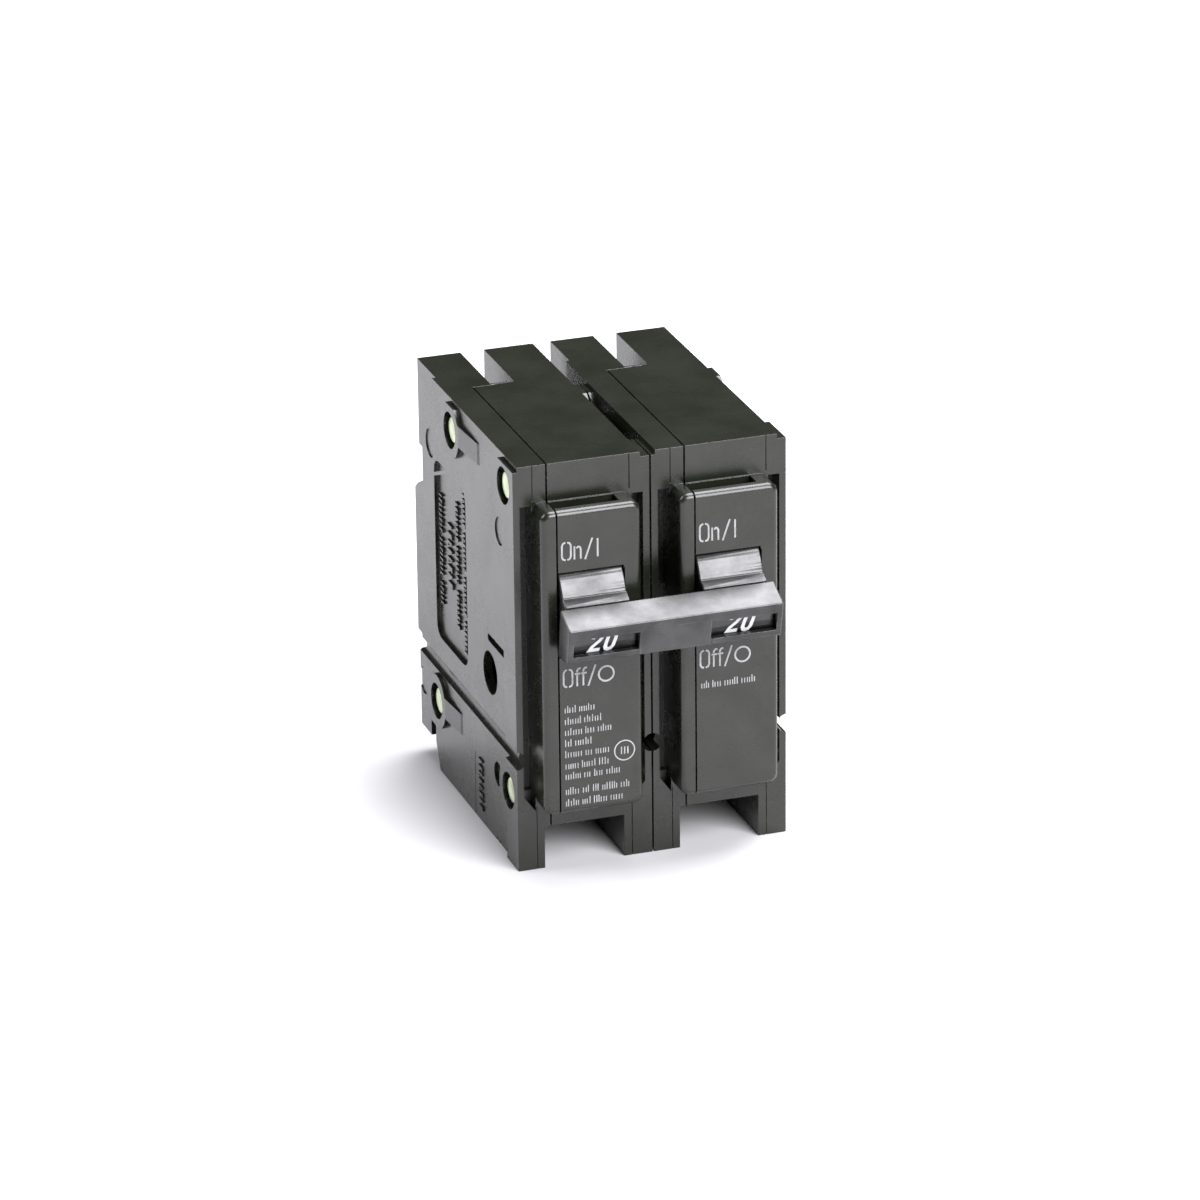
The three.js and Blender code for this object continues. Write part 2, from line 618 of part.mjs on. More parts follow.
POLES.forEach((side, index) => {
  const shift = index * POLE_PITCH;
  const isLast = index === POLES.length - 1;
  const pieces = [
    [`cover_${side}`, cover(moulding), 'moulding'],
    [`case_${side}`, caseHalf(moulding, isLast), 'moulding'],
    [`handle_${side}`, handle(), 'handle'],
    [`contact_arm_${side}`, contactArm(), 'copper'],
    [`moving_contact_${side}`, movingContact(), 'silver'],
    [`stationary_contact_${side}`, stationaryContact(), 'silver'],
    [`line_jaw_${side}`, lineJaw(), 'copper'],
    [`jaw_spring_${side}`, jawSpring(), 'steel'],
    [`arc_holder_${side}`, arcHolder(), 'fibre'],
    [`cradle_${side}`, cradle(), 'steel'],
    [`toggle_spring_${side}`, toggleSpring(), 'steel'],
    [`armature_${side}`, armature(), 'steel'],
    [`armature_spring_${side}`, armatureSpring(), 'steel'],
    [`magnet_yoke_${side}`, magnetYoke(), 'steel'],
    [`bimetal_${side}`, bimetal(), 'copper'],
    [`braid_${side}`, braid(), 'copper'],
    [`load_strap_${side}`, loadStrap(), 'copper'],
    [`terminal_screw_${side}`, terminalScrew(), 'steel'],
    [`clamp_plate_${side}`, clampPlate(), 'steel'],
    [`calibration_screw_${side}`, calibrationScrew(), 'steel'],
  ];
  for (let plate = 0; plate < ARC_PLATES.count; plate++) {
    pieces.push([`arc_plate_${side}_${plate + 1}`, arcPlate(plate), 'steel']);
  }
  pieces.forEach(([name, manifold, finish]) => place(name, manifold, finish, shift));
});

place('handle_tie', handleTie(), 'handle');
place('trip_crossbar', crossbar(), 'handle');
RIVET_SPOTS.forEach((spot, index) => place(`rivet_${index + 1}`, rivet(spot), 'steel'));

// The origin is under the middle of the whole object, at the height of its feet.
const frontY = onLever(TIE.front + TIE.lean, leverHalf(TIE.front))[0];
breaker.position.set(-POLE_PITCH, -(REAR_Y + frontY) / 2, 0);

export default breaker;
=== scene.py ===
"""Looks of a two-pole plug-on circuit breaker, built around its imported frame.

Lengths inside the builders are millimetres in one pole's own coordinates: X from the pole's
left side, Y back from the front band and Z up from the feet. Each piece is moved to metres in
the row frame as its last step, so every object sits at the origin.
"""

import logging
import math
import random
from dataclasses import dataclass
from enum import Enum
from typing import Callable, Iterable, Sequence

import bmesh
import bpy
from mathutils import Matrix, Vector


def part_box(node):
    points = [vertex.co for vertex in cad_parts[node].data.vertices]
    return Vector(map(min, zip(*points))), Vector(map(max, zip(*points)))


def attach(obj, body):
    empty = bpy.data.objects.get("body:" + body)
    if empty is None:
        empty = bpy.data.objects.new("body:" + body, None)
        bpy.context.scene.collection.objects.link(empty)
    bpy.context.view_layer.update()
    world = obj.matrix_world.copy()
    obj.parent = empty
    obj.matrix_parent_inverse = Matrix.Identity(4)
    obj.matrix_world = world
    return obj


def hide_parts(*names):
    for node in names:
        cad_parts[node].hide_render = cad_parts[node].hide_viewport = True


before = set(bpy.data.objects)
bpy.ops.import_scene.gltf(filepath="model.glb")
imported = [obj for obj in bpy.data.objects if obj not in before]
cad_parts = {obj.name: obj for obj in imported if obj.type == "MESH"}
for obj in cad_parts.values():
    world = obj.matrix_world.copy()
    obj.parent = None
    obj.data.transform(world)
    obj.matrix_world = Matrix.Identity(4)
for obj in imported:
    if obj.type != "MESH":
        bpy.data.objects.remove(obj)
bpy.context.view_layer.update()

LOG = logging.getLogger("breaker")
MM = 0.001
POLE_PITCH = 25.4
HALF_GAP = 0.15
NOSE_OUT = 5.5
SMOOTH_ANGLE = math.radians(36)
FLAT_ANGLE = math.radians(3)
YZ = tuple[float, float]
Solid = bmesh.types.BMesh
Socket = bpy.types.NodeSocket


class Slot(Enum):
    """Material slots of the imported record."""

    MOULDING = "moulding"
    HANDLE = "handle"
    COPPER = "copper"
    TINNED_COPPER = "tinned_copper"
    SILVER = "silver"
    STEEL = "steel"
    SPRING_STEEL = "spring_steel"
    ZINC_STEEL = "zinc_steel"
    BIMETAL = "bimetal"
    FIBRE = "fibre"


class Side(Enum):
    """The two poles, with their place in the row from the left."""

    LEFT = 0
    RIGHT = 1

    @property
    def word(self) -> str:
        """The pole's name as the nodes spell it."""
        return self.name.lower()


# ---- Shader node groups ---------------------------------------------------------------------


class GroupBuilder:
    """A shader node group under construction, with short calls for nodes and links."""

    def __init__(self, name: str) -> None:
        """Start an empty group.

        Args:
            name: the group's name.
        """
        self.tree = bpy.data.node_groups.new(name, "ShaderNodeTree")
        self.source = self.tree.nodes.new("NodeGroupInput")
        self.sink = self.tree.nodes.new("NodeGroupOutput")

    def give(self, name: str, kind: str, default: object = None) -> None:
        """Add an input socket with a default value."""
        socket = self.tree.interface.new_socket(name, in_out="INPUT", socket_type=kind)
        if default is not None:
            socket.default_value = default

    def take(self, name: str, kind: str, value: Socket) -> None:
        """Add an output socket fed by value."""
        self.tree.interface.new_socket(name, in_out="OUTPUT", socket_type=kind)
        self.tree.links.new(value, self.sink.inputs[name])

    def node(self, kind: str, inputs: dict | None = None, **settings: object) -> bpy.types.Node:
        """Make a node in this group; see make_node."""
        return make_node(self.tree, kind, inputs, **settings)

    def noise(self, vector: Socket, scale: object, detail: float,
              roughness: float = 0.5) -> Socket:
        """Noise from 0 to 1."""
        return self.node("ShaderNodeTexNoise", {
            "Vector": vector, "Scale": scale, "Detail": detail, "Roughness": roughness,
        }).outputs["Fac"]

    def window(self, value: Socket, low: float, high: float) -> Socket:
        """Map low..high to 0..1."""
        return self.node("ShaderNodeMapRange", {
            "Value": value, "From Min": low, "From Max": high}).outputs["Result"]

    def product(self, a: Socket, b: Socket,
                clamp: bool = False) -> Socket:
        """Multiply two values."""
        return self.node("ShaderNodeMath", {0: a, 1: b}, operation="MULTIPLY",
                         use_clamp=clamp).outputs[0]


def plug(tree: bpy.types.NodeTree, socket: Socket, value: object) -> None:
    """Set a socket, or link it if the value is a socket."""
    if isinstance(value, Socket):
        tree.links.new(value, socket)
    else:
        socket.default_value = value


def make_node(tree: bpy.types.NodeTree, kind: str, inputs: dict | None = None,
              **settings: object) -> bpy.types.Node:
    """Make a node, set its properties and fill its inputs.

    Args:
        tree: the tree that gets the node.
        kind: the node's type, such as ShaderNodeTexNoise.
        inputs: input name or number to a value, or to a socket that feeds it.
        settings: properties of the node.

    Returns:
        The new node.
    """
    node = tree.nodes.new(kind)
    for key, value in settings.items():
        setattr(node, key, value)
    for key, value in (inputs or {}).items():
        plug(tree, node.inputs[key], value)
    return node


def build_mottle_group() -> bpy.types.NodeTree:
    """Colour that drifts between two tones at a coarse and a fine scale."""
    group = GroupBuilder("mottle")
    group.give("Vector", "NodeSocketVector")
    group.give("Dark", "NodeSocketColor")
    group.give("Light", "NodeSocketColor")
    group.give("Scale", "NodeSocketFloat", 120.0)
    group.give("Fine", "NodeSocketFloat", 0.35)
    given = group.source.outputs
    coarse = group.window(group.noise(given["Vector"], given["Scale"], 4.0, 0.6), 0.3, 0.7)
    speckle = group.noise(given["Vector"], 2600.0, 2.0)
    blend = group.node("ShaderNodeMix", {"Factor": given["Fine"], 2: coarse, 3: speckle})
    tone = group.node("ShaderNodeMix", {
        "Factor": blend.outputs[0], 6: given["Dark"], 7: given["Light"]}, data_type="RGBA")
    group.take("Color", "NodeSocketColor", tone.outputs[2])
    group.take("Mask", "NodeSocketFloat", blend.outputs[0])
    return group.tree


def build_edge_group() -> bpy.types.NodeTree:
    """A mask of worn edges: where a rounded normal leaves the true one, broken up by noise."""
    group = GroupBuilder("edge_wear")
    group.give("Vector", "NodeSocketVector")
    group.give("Radius", "NodeSocketFloat", 0.0004)
    group.give("Amount", "NodeSocketFloat", 0.5)
    given = group.source.outputs
    rounded = group.node("ShaderNodeBevel", {"Radius": given["Radius"]}, samples=4)
    true = group.node("ShaderNodeNewGeometry")
    agreement = group.node("ShaderNodeVectorMath", {
        0: rounded.outputs["Normal"], 1: true.outputs["Normal"]}, operation="DOT_PRODUCT")
    edge = group.window(agreement.outputs["Value"], 0.995, 0.86)
    patchy = group.window(group.noise(given["Vector"], 420.0, 5.0, 0.7), 0.45, 0.68)
    worn = group.product(edge, patchy)
    group.take("Mask", "NodeSocketFloat", group.product(worn, given["Amount"], clamp=True))
    return group.tree


def build_grain_group() -> bpy.types.NodeTree:
    """The fine relief of a surface, as a height in steps from 0 to 1."""
    group = GroupBuilder("grain")
    group.give("Vector", "NodeSocketVector")
    group.give("Scale", "NodeSocketFloat", 1800.0)
    group.give("Waviness", "NodeSocketFloat", 0.3)
    given = group.source.outputs
    fine = group.noise(given["Vector"], given["Scale"], 3.0)
    wave = group.noise(given["Vector"], 60.0, 1.0)
    height = group.node("ShaderNodeMix", {"Factor": given["Waviness"], 2: fine, 3: wave})
    group.take("Height", "NodeSocketFloat", height.outputs[0])
    return group.tree


def build_scuff_group() -> bpy.types.NodeTree:
    """Fine scratches that run mostly one way, in patches where hands rub."""
    group = GroupBuilder("scuffs")
    group.give("Vector", "NodeSocketVector")
    group.give("Stretch", "NodeSocketVector", (1.0, 12.0, 12.0))
    group.give("Cover", "NodeSocketFloat", 0.5)
    given = group.source.outputs
    along = group.node("ShaderNodeVectorMath", {
        0: given["Vector"], 1: given["Stretch"]}, operation="MULTIPLY")
    thin = group.window(group.noise(along.outputs[0], 330.0, 6.0, 0.75), 0.56, 0.66)
    where = group.window(group.noise(given["Vector"], 170.0, 3.0), 0.42, 0.6)
    both = group.product(thin, where)
    group.take("Mask", "NodeSocketFloat", group.product(both, given["Cover"], clamp=True))
    return group.tree


MOTTLE = build_mottle_group()
EDGE_WEAR = build_edge_group()
GRAIN = build_grain_group()
SCUFFS = build_scuff_group()

Colour = tuple[float, float, float]


class MaterialBuilder:
    """A material with one Principled BSDF and short calls for what feeds it."""

    def __init__(self, name: str) -> None:
        """Start a material.

        Args:
            name: the material's name.
        """
        self.material = bpy.data.materials.new(name)
        self.material.use_nodes = True
        self.tree = self.material.node_tree
        self.tree.nodes.clear()
        output = self.tree.nodes.new("ShaderNodeOutputMaterial")
        self.shader = self.tree.nodes.new("ShaderNodeBsdfPrincipled")
        self.tree.links.new(self.shader.outputs["BSDF"], output.inputs["Surface"])
        self.place = self.tree.nodes.new("ShaderNodeTexCoord").outputs["Object"]

    def node(self, kind: str, inputs: dict | None = None, **settings: object) -> bpy.types.Node:
        """Make a node in this material; see make_node."""
        return make_node(self.tree, kind, inputs, **settings)

    def group(self, tree: bpy.types.NodeTree, **inputs: object) -> bpy.types.Node:
        """Place a node group that reads Object coordinates.

        Args:
            tree: the node group.
            inputs: input names to values or sockets.

        Returns:
            The group node.
        """
        node = self.tree.nodes.new("ShaderNodeGroup")
        node.node_tree = tree
        self.tree.links.new(self.place, node.inputs["Vector"])
        for key, value in inputs.items():
            plug(self.tree, node.inputs[key], value)
        return node

    def feed(self, name: str, value: object) -> None:
        """Set or link one input of the Principled BSDF."""
        plug(self.tree, self.shader.inputs[name], value)

    def mix_colour(self, mask: Socket, base: Socket,
                   over: Colour) -> Socket:
        """Lay a colour over another where a mask is high."""
        node = self.node("ShaderNodeMix", {
            "Factor": mask, 6: base, 7: (*over, 1)}, data_type="RGBA")
        return node.outputs[2]

    def ramp(self, value: Socket, low: float, high: float) -> Socket:
        """Map 0..1 to low..high."""
        return self.node("ShaderNodeMapRange", {
            "Value": value, "To Min": low, "To Max": high}).outputs["Result"]

    def bump(self, height: Socket, strength: float, depth_mm: float) -> None:
        """Feed the normal from a height."""
        edges = self.node("ShaderNodeBevel", {"Radius": 0.15 * MM}, samples=4)
        node = self.node("ShaderNodeBump", {
            "Height": height, "Strength": strength, "Distance": depth_mm * MM,
            "Normal": edges.outputs["Normal"]})
        self.feed("Normal", node.outputs["Normal"])


@dataclass(frozen=True)
class PlasticFinish:
    """A moulded plastic: tone, gloss, grain, and how worn and scuffed it is."""

    name: str
    dark: Colour
    light: Colour
    worn: Colour
    roughness: tuple[float, float]
    grain_scale: float = 1500.0
    grain_depth: float = 0.02
    wear: float = 0.4
    scuffs: float = 0.2
    ior: float = 1.55
    sheen: tuple[float, float] = (0.45, 0.55)

    def material(self) -> bpy.types.Material:
        """Build the material."""
        build = MaterialBuilder(self.name)
        tone = build.group(MOTTLE, Dark=(*self.dark, 1), Light=(*self.light, 1), Scale=90.0)
        edge = build.group(EDGE_WEAR, Radius=0.35 * MM, Amount=self.wear)
        scuff = build.group(SCUFFS, Cover=self.scuffs)
        grain = build.group(GRAIN, Scale=self.grain_scale)
        rubbed = build.mix_colour(edge.outputs["Mask"], tone.outputs["Color"], self.worn)
        build.feed("Base Color", build.mix_colour(scuff.outputs["Mask"], rubbed, self.worn))
        gloss = build.ramp(tone.outputs["Mask"], *self.roughness)
        rougher = build.node("ShaderNodeMath", {
            0: scuff.outputs["Mask"], 1: 0.25, 2: gloss}, operation="MULTIPLY_ADD")
        build.feed("Roughness", rougher.outputs[0])
        build.feed("IOR", self.ior)
        smudge = build.group(MOTTLE, Scale=150.0, Fine=0.1)
        build.feed("Specular IOR Level", build.ramp(smudge.outputs["Mask"], *self.sheen))
        build.bump(grain.outputs["Height"], 0.35, self.grain_depth)
        return build.material


@dataclass(frozen=True)
class MetalFinish:
    """A metal: tone, tarnish, roughness and the lay of its rolling or plating marks."""

    name: str
    clean: Colour
    tarnish: Colour
    roughness: tuple[float, float]
    stretch: tuple[float, float, float] = (1.0, 1.0, 8.0)
    scuffs: float = 0.35

    def material(self) -> bpy.types.Material:
        """Build the material."""
        build = MaterialBuilder(self.name)
        tone = build.group(MOTTLE, Dark=(*self.tarnish, 1), Light=(*self.clean, 1), Scale=260.0)
        scuff = build.group(SCUFFS, Cover=self.scuffs, Stretch=self.stretch)
        grain = build.group(GRAIN, Scale=2400.0, Waviness=0.15)
        build.feed("Base Color", build.mix_colour(scuff.outputs["Mask"], tone.outputs["Color"],
                                                  tuple(min(1.0, c * 1.25) for c in self.clean)))
        smooth, rough = self.roughness
        build.feed("Roughness", build.ramp(tone.outputs["Mask"], rough, smooth))
        build.feed("Metallic", 1.0)
        build.bump(grain.outputs["Height"], 0.3, 0.012)
        return build.material


@dataclass(frozen=True)
class InkFinish:
    """A printed ink, slightly thin in places."""

    name: str
    full: Colour
    thin: Colour

    def material(self) -> bpy.types.Material:
        """Build the material."""
        build = MaterialBuilder(self.name)
        tone = build.group(MOTTLE, Dark=(*self.thin, 1), Light=(*self.full, 1), Scale=700.0)
        build.feed("Base Color", tone.outputs["Color"])
        build.feed("Roughness", build.ramp(tone.outputs["Mask"], 0.75, 0.55))
        return build.material


FINISHES = {
    Slot.MOULDING: PlasticFinish(
        "black_thermoset", (0.0065, 0.0077, 0.0042), (0.0115, 0.0134, 0.008), (0.1, 0.1, 0.09),
        (0.22, 0.32), wear=0.22, scuffs=0.04),
    Slot.HANDLE: PlasticFinish(
        "black_toggle_plastic", (0.0075, 0.008, 0.007), (0.013, 0.0135, 0.012), (0.3, 0.29, 0.31),
        (0.17, 0.3), grain_scale=1100.0, grain_depth=0.012, wear=0.4, scuffs=0.12,
        sheen=(0.3, 0.75)),
    Slot.COPPER: MetalFinish("bright_copper", (0.82, 0.43, 0.28), (0.45, 0.2, 0.12), (0.24, 0.42)),
    Slot.TINNED_COPPER: MetalFinish(
        "tinned_copper", (0.3, 0.29, 0.2), (0.12, 0.115, 0.07), (0.32, 0.5)),
    Slot.SILVER: MetalFinish("contact_silver", (0.88, 0.87, 0.84), (0.5, 0.47, 0.42), (0.2, 0.38)),
    Slot.STEEL: MetalFinish("stamped_steel", (0.5, 0.5, 0.49), (0.22, 0.22, 0.215), (0.3, 0.48)),
    Slot.SPRING_STEEL: MetalFinish(
        "spring_steel", (0.42, 0.42, 0.44), (0.17, 0.17, 0.18), (0.26, 0.4)),
    Slot.ZINC_STEEL: MetalFinish(
        "zinc_plate", (0.7, 0.77, 0.56), (0.48, 0.55, 0.35), (0.3, 0.46), stretch=(1.0, 1.0, 1.0)),
    Slot.BIMETAL: MetalFinish("bimetal", (0.6, 0.5, 0.4), (0.34, 0.24, 0.17), (0.28, 0.44)),
    Slot.FIBRE: PlasticFinish(
        "vulcanised_fibre", (0.2, 0.06, 0.035), (0.33, 0.12, 0.07), (0.45, 0.25, 0.18),
        (0.62, 0.8), grain_scale=900.0, grain_depth=0.05, wear=0.3, scuffs=0.1),
}
MATERIALS = {slot: finish.material() for slot, finish in FINISHES.items()}
INK = InkFinish("grey_ink", (0.4, 0.4, 0.41), (0.2, 0.2, 0.2)).material()
RATING_INK = InkFinish("white_ink", (0.62, 0.63, 0.63), (0.42, 0.43, 0.43)).material()


# ---- Shapes ---------------------------------------------------------------------------------


def pole_matrix(side: Side) -> Matrix:
    """Millimetres in a pole's own coordinates to metres in the row frame."""
    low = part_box(f"cover_{side.word}")[0]
    corner = Vector((low.x - HALF_GAP * MM, low.y + NOSE_OUT * MM, 0))
    return Matrix.Translation(corner) @ Matrix.Scale(MM, 4)


def carry(bm: Solid, faces: list[bmesh.types.BMFace],
          shift: tuple[float, float, float]) -> None:
    """Extrude faces by a shift into a closed solid."""
    swept = bmesh.ops.extrude_face_region(bm, geom=faces)
    moved = [v for v in swept["geom"] if isinstance(v, bmesh.types.BMVert)]
    bmesh.ops.translate(bm, verts=moved, vec=shift)


def prism(points: Sequence[YZ], x0: float, x1: float) -> Solid:
    """Carry a [y, z] outline along X from x0 to x1.

    Args:
        points: the outline's corners in order.
        x0: where it starts.
        x1: where it ends.

    Returns:
        A closed bmesh.
    """
    bm = bmesh.new()
    ring = [bm.verts.new((x0, y, z)) for y, z in points]
    carry(bm, [bm.faces.new(ring)], (x1 - x0, 0, 0))
    bmesh.ops.recalc_face_normals(bm, faces=bm.faces)
    return bm


def block(x0: float, x1: float, y0: float, y1: float, z0: float, z1: float) -> Solid:
    """A rectangular block between two corners."""
    return prism([(y0, z0), (y1, z0), (y1, z1), (y0, z1)], x0, x1)


def lay_along(axis: str, centre: YZ, along: float = 0.0) -> Matrix:
    """Lay the Z axis along X or Y, through centre, with the origin at along."""
    if axis == "x":
        return Matrix.Translation((along, *centre)) @ Matrix.Rotation(math.pi / 2, 4, "Y")
    return (Matrix.Translation((centre[0], along, centre[1]))
            @ Matrix.Rotation(-math.pi / 2, 4, "X"))


def bar(axis: str, start: float, end: float, centre: YZ, radius: float,
        sides: int = 64) -> Solid:
    """A round bar along one axis.

    Args:
        axis: "x" or "y".
        start: where it starts on that axis.
        end: where it ends.
        centre: its other two coordinates.
        radius: its radius.
        sides: facets round it.

    Returns:
        A closed bmesh.
    """
    bm = bmesh.new()
    bmesh.ops.create_cone(bm, cap_ends=True, segments=sides, radius1=radius, radius2=radius,
                          depth=end - start)
    bmesh.ops.transform(bm, matrix=lay_along(axis, centre, (start + end) / 2), verts=bm.verts)
    return bm


def turned(profile: Sequence[tuple[float, float]], axis: str, centre: YZ,
           steps: int = 64) -> Solid:
    """Turn a profile about an axis.

    Args:
        profile: [radius, position along the axis] points, from the axis back to the axis, or a
            closed loop off the axis if its first point is repeated at the end.
        axis: "x" or "y".
        centre: the axis's other two coordinates.
        steps: facets round the axis.

    Returns:
        A closed bmesh.
    """
    bm = bmesh.new()
    verts = [bm.verts.new((r, 0, along)) for r, along in profile]
    edges = [bm.edges.new(pair) for pair in zip(verts, verts[1:])]
    bmesh.ops.spin(bm, geom=verts + edges, cent=(0, 0, 0), axis=(0, 0, 1),
                   angle=2 * math.pi, steps=steps, use_merge=True, use_duplicate=False)
    bmesh.ops.remove_doubles(bm, verts=bm.verts, dist=1e-5)
    bmesh.ops.recalc_face_normals(bm, faces=bm.faces)
    bmesh.ops.transform(bm, matrix=lay_along(axis, centre), verts=bm.verts)
    return bm


def eye(centre: YZ, inner: float, outer: float, x0: float, x1: float) -> Solid:
    """A washer-shaped solid square to X."""
    loop = [(inner, x0), (outer, x0), (outer, x1), (inner, x1), (inner, x0)]
    return turned(loop, "x", centre, 40)


def cad_shape(node: str, side: Side) -> Solid:
    """A merged copy of a CAD node in the pole's millimetres.

    Args:
        node: the CAD node's name.
        side: the pole whose coordinates are used.

    Returns:
        A closed bmesh with coplanar triangles dissolved.
    """
    bm = bmesh.new()
    bm.from_mesh(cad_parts[node].data)
    bmesh.ops.transform(bm, matrix=pole_matrix(side).inverted(), verts=bm.verts)
    merge_flat(bm)
    return bm


def to_object(name: str, bm: Solid) -> bpy.types.Object:
    """Turn a bmesh into a linked object and free the bmesh."""
    mesh = bpy.data.meshes.new(name)
    bm.to_mesh(mesh)
    bm.free()
    piece = bpy.data.objects.new(name, mesh)
    bpy.context.scene.collection.objects.link(piece)
    return piece


def merge_flat(bm: Solid) -> None:
    """Merge doubled vertices and dissolve the edges inside flat faces."""
    bmesh.ops.remove_doubles(bm, verts=bm.verts, dist=2e-3)
    bmesh.ops.dissolve_limit(bm, angle_limit=math.radians(1), verts=bm.verts, edges=bm.edges)


def cut_out(base: Solid, tools: Iterable[Solid]) -> Solid:
    """Cut tools from a solid.

    Args:
        base: the solid.
        tools: the solids to cut; they may overlap.

    Returns:
        The result as a new bmesh.
    """
    body = to_object("body", base)
    used = []
    for index, tool in enumerate(tools):
        cutter = to_object(f"tool_{index}", tool)
        modifier = body.modifiers.new(f"step_{index}", "BOOLEAN")
        modifier.operation = "DIFFERENCE"
        modifier.solver = "EXACT"
        modifier.object = cutter
        used.append(cutter)
    bpy.context.view_layer.update()
    evaluated = body.evaluated_get(bpy.context.evaluated_depsgraph_get())
    result = bmesh.new()
    result.from_mesh(evaluated.to_mesh())
    evaluated.to_mesh_clear()
    for piece in [body, *used]:
        mesh = piece.data
        bpy.data.objects.remove(piece)
        bpy.data.meshes.remove(mesh)
    merge_flat(result)
    return result


def continues(edge: bmesh.types.BMEdge, other: bmesh.types.BMEdge,
              vert: bmesh.types.BMVert) -> bool:
    """Whether one edge runs on into another, nearly straight, through their shared corner."""
    away = (edge.other_vert(vert).co - vert.co).normalized()
    return away.dot((other.other_vert(vert).co - vert.co).normalized()) < -0.85


def long_runs(sharp: set, shortest: float) -> list[bmesh.types.BMEdge]:
    """The sharp edges that belong to a smooth run longer than a length.

    Args:
        sharp: the sharp edges.
        shortest: runs up to this length are left out.

    Returns:
        The edges of the longer runs.
    """
    waiting = set(sharp)
    chosen = []
    while waiting:
        run = [waiting.pop()]
        for edge in run:
            for vert in edge.verts:
                joined = [e for e in vert.link_edges if e in waiting and continues(edge, e, vert)]
                waiting.difference_update(joined)
                run += joined
        if sum(edge.calc_length() for edge in run) > shortest:
            chosen += run
    return chosen


def has_room(edge: bmesh.types.BMEdge, sharp: set, width: float) -> bool:
    """Whether a bevel along an edge stays clear of the flat faces' inner edges.

    Args:
        edge: the edge to bevel.
        sharp: all sharp edges.
        width: the bevel's width.

    Returns:
        False where an inner edge leaves at so small an angle that the bevel would overrun it.
    """
    for vert in edge.verts:
        along = (edge.other_vert(vert).co - vert.co).normalized()
        for other in vert.link_edges:
            if other in sharp or not set(other.link_faces) & set(edge.link_faces):
                continue
            reach = other.other_vert(vert).co - vert.co
            sine = along.cross(reach.normalized()).length
            if width > 0.4 * reach.length * sine:
                return False
    return True


def soften(bm: Solid, width: float, segments: int = 2, angle: float = 35.0,
           shortest: float = 0.9) -> None:
    """Round the sharp edges of a solid.

    Args:
        bm: the solid, changed in place.
        width: the bevel's width.
        segments: facets across the bevel.
        angle: edges that turn less than this many degrees are left.
        shortest: runs of edge up to this length are left.
    """
    limit = math.radians(angle)
    sharp = {e for e in bm.edges if len(e.link_faces) == 2 and e.calc_face_angle(0) > limit}
    chosen = [e for e in long_runs(sharp, shortest) if has_room(e, sharp, width)]
    bmesh.ops.bevel(bm, geom=chosen, offset=width, offset_type="OFFSET", segments=segments,
                    profile=0.5, affect="EDGES", clamp_overlap=False, material=-1,
                    miter_outer="ARC", miter_inner="ARC")


def mark_sharp(bm: Solid, wide: float) -> None:
    """Shade a solid smooth but for its true edges.

    Args:
        bm: the solid, changed in place.
        wide: faces broader than this meet in a sharp edge wherever they turn at all.
    """
    broad = {face for face in bm.faces
             if 2 * face.calc_area() > wide * sum(edge.calc_length() for edge in face.edges)}
    for face in bm.faces:
        face.smooth = True
    for edge in bm.edges:
        turn = edge.calc_face_angle(0)
        flat_pair = all(face in broad for face in edge.link_faces)
        edge.smooth = turn < (FLAT_ANGLE if flat_pair else SMOOTH_ANGLE)


def publish(name: str, bm: Solid, side: Side, body: str, slot: Slot,
            nodes: Sequence[str] = (), material: bpy.types.Material | None = None,
            wide: float = 4.0) -> None:
    """Make a finished piece: place it, shade it, dress it and tie it to its body.

    Args:
        name: the piece's name.
        bm: its shape in the pole's millimetres.
        side: the pole whose coordinates the shape is in.
        body: the CAD body that it rides on.
        slot: the record's material slot.
        nodes: the CAD nodes that it stands for.
        material: its material, if not the slot's own.
        wide: faces broader than this are shaded flat where they meet; see mark_sharp.
    """
    mark_sharp(bm, wide)
    bmesh.ops.transform(bm, matrix=pole_matrix(side), verts=bm.verts)
    piece = to_object(name, bm)
    modifier = piece.modifiers.new("weighted_normals", "WEIGHTED_NORMAL")
    modifier.keep_sharp = True
    modifier.weight = 100
    piece.data.materials.append(material or MATERIALS[slot])
    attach(piece, body)
    if nodes:
        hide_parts(*nodes)
    LOG.info("%s: %d faces on %s", name, len(piece.data.polygons), body)


# ---- Case mouldings -------------------------------------------------------------------------


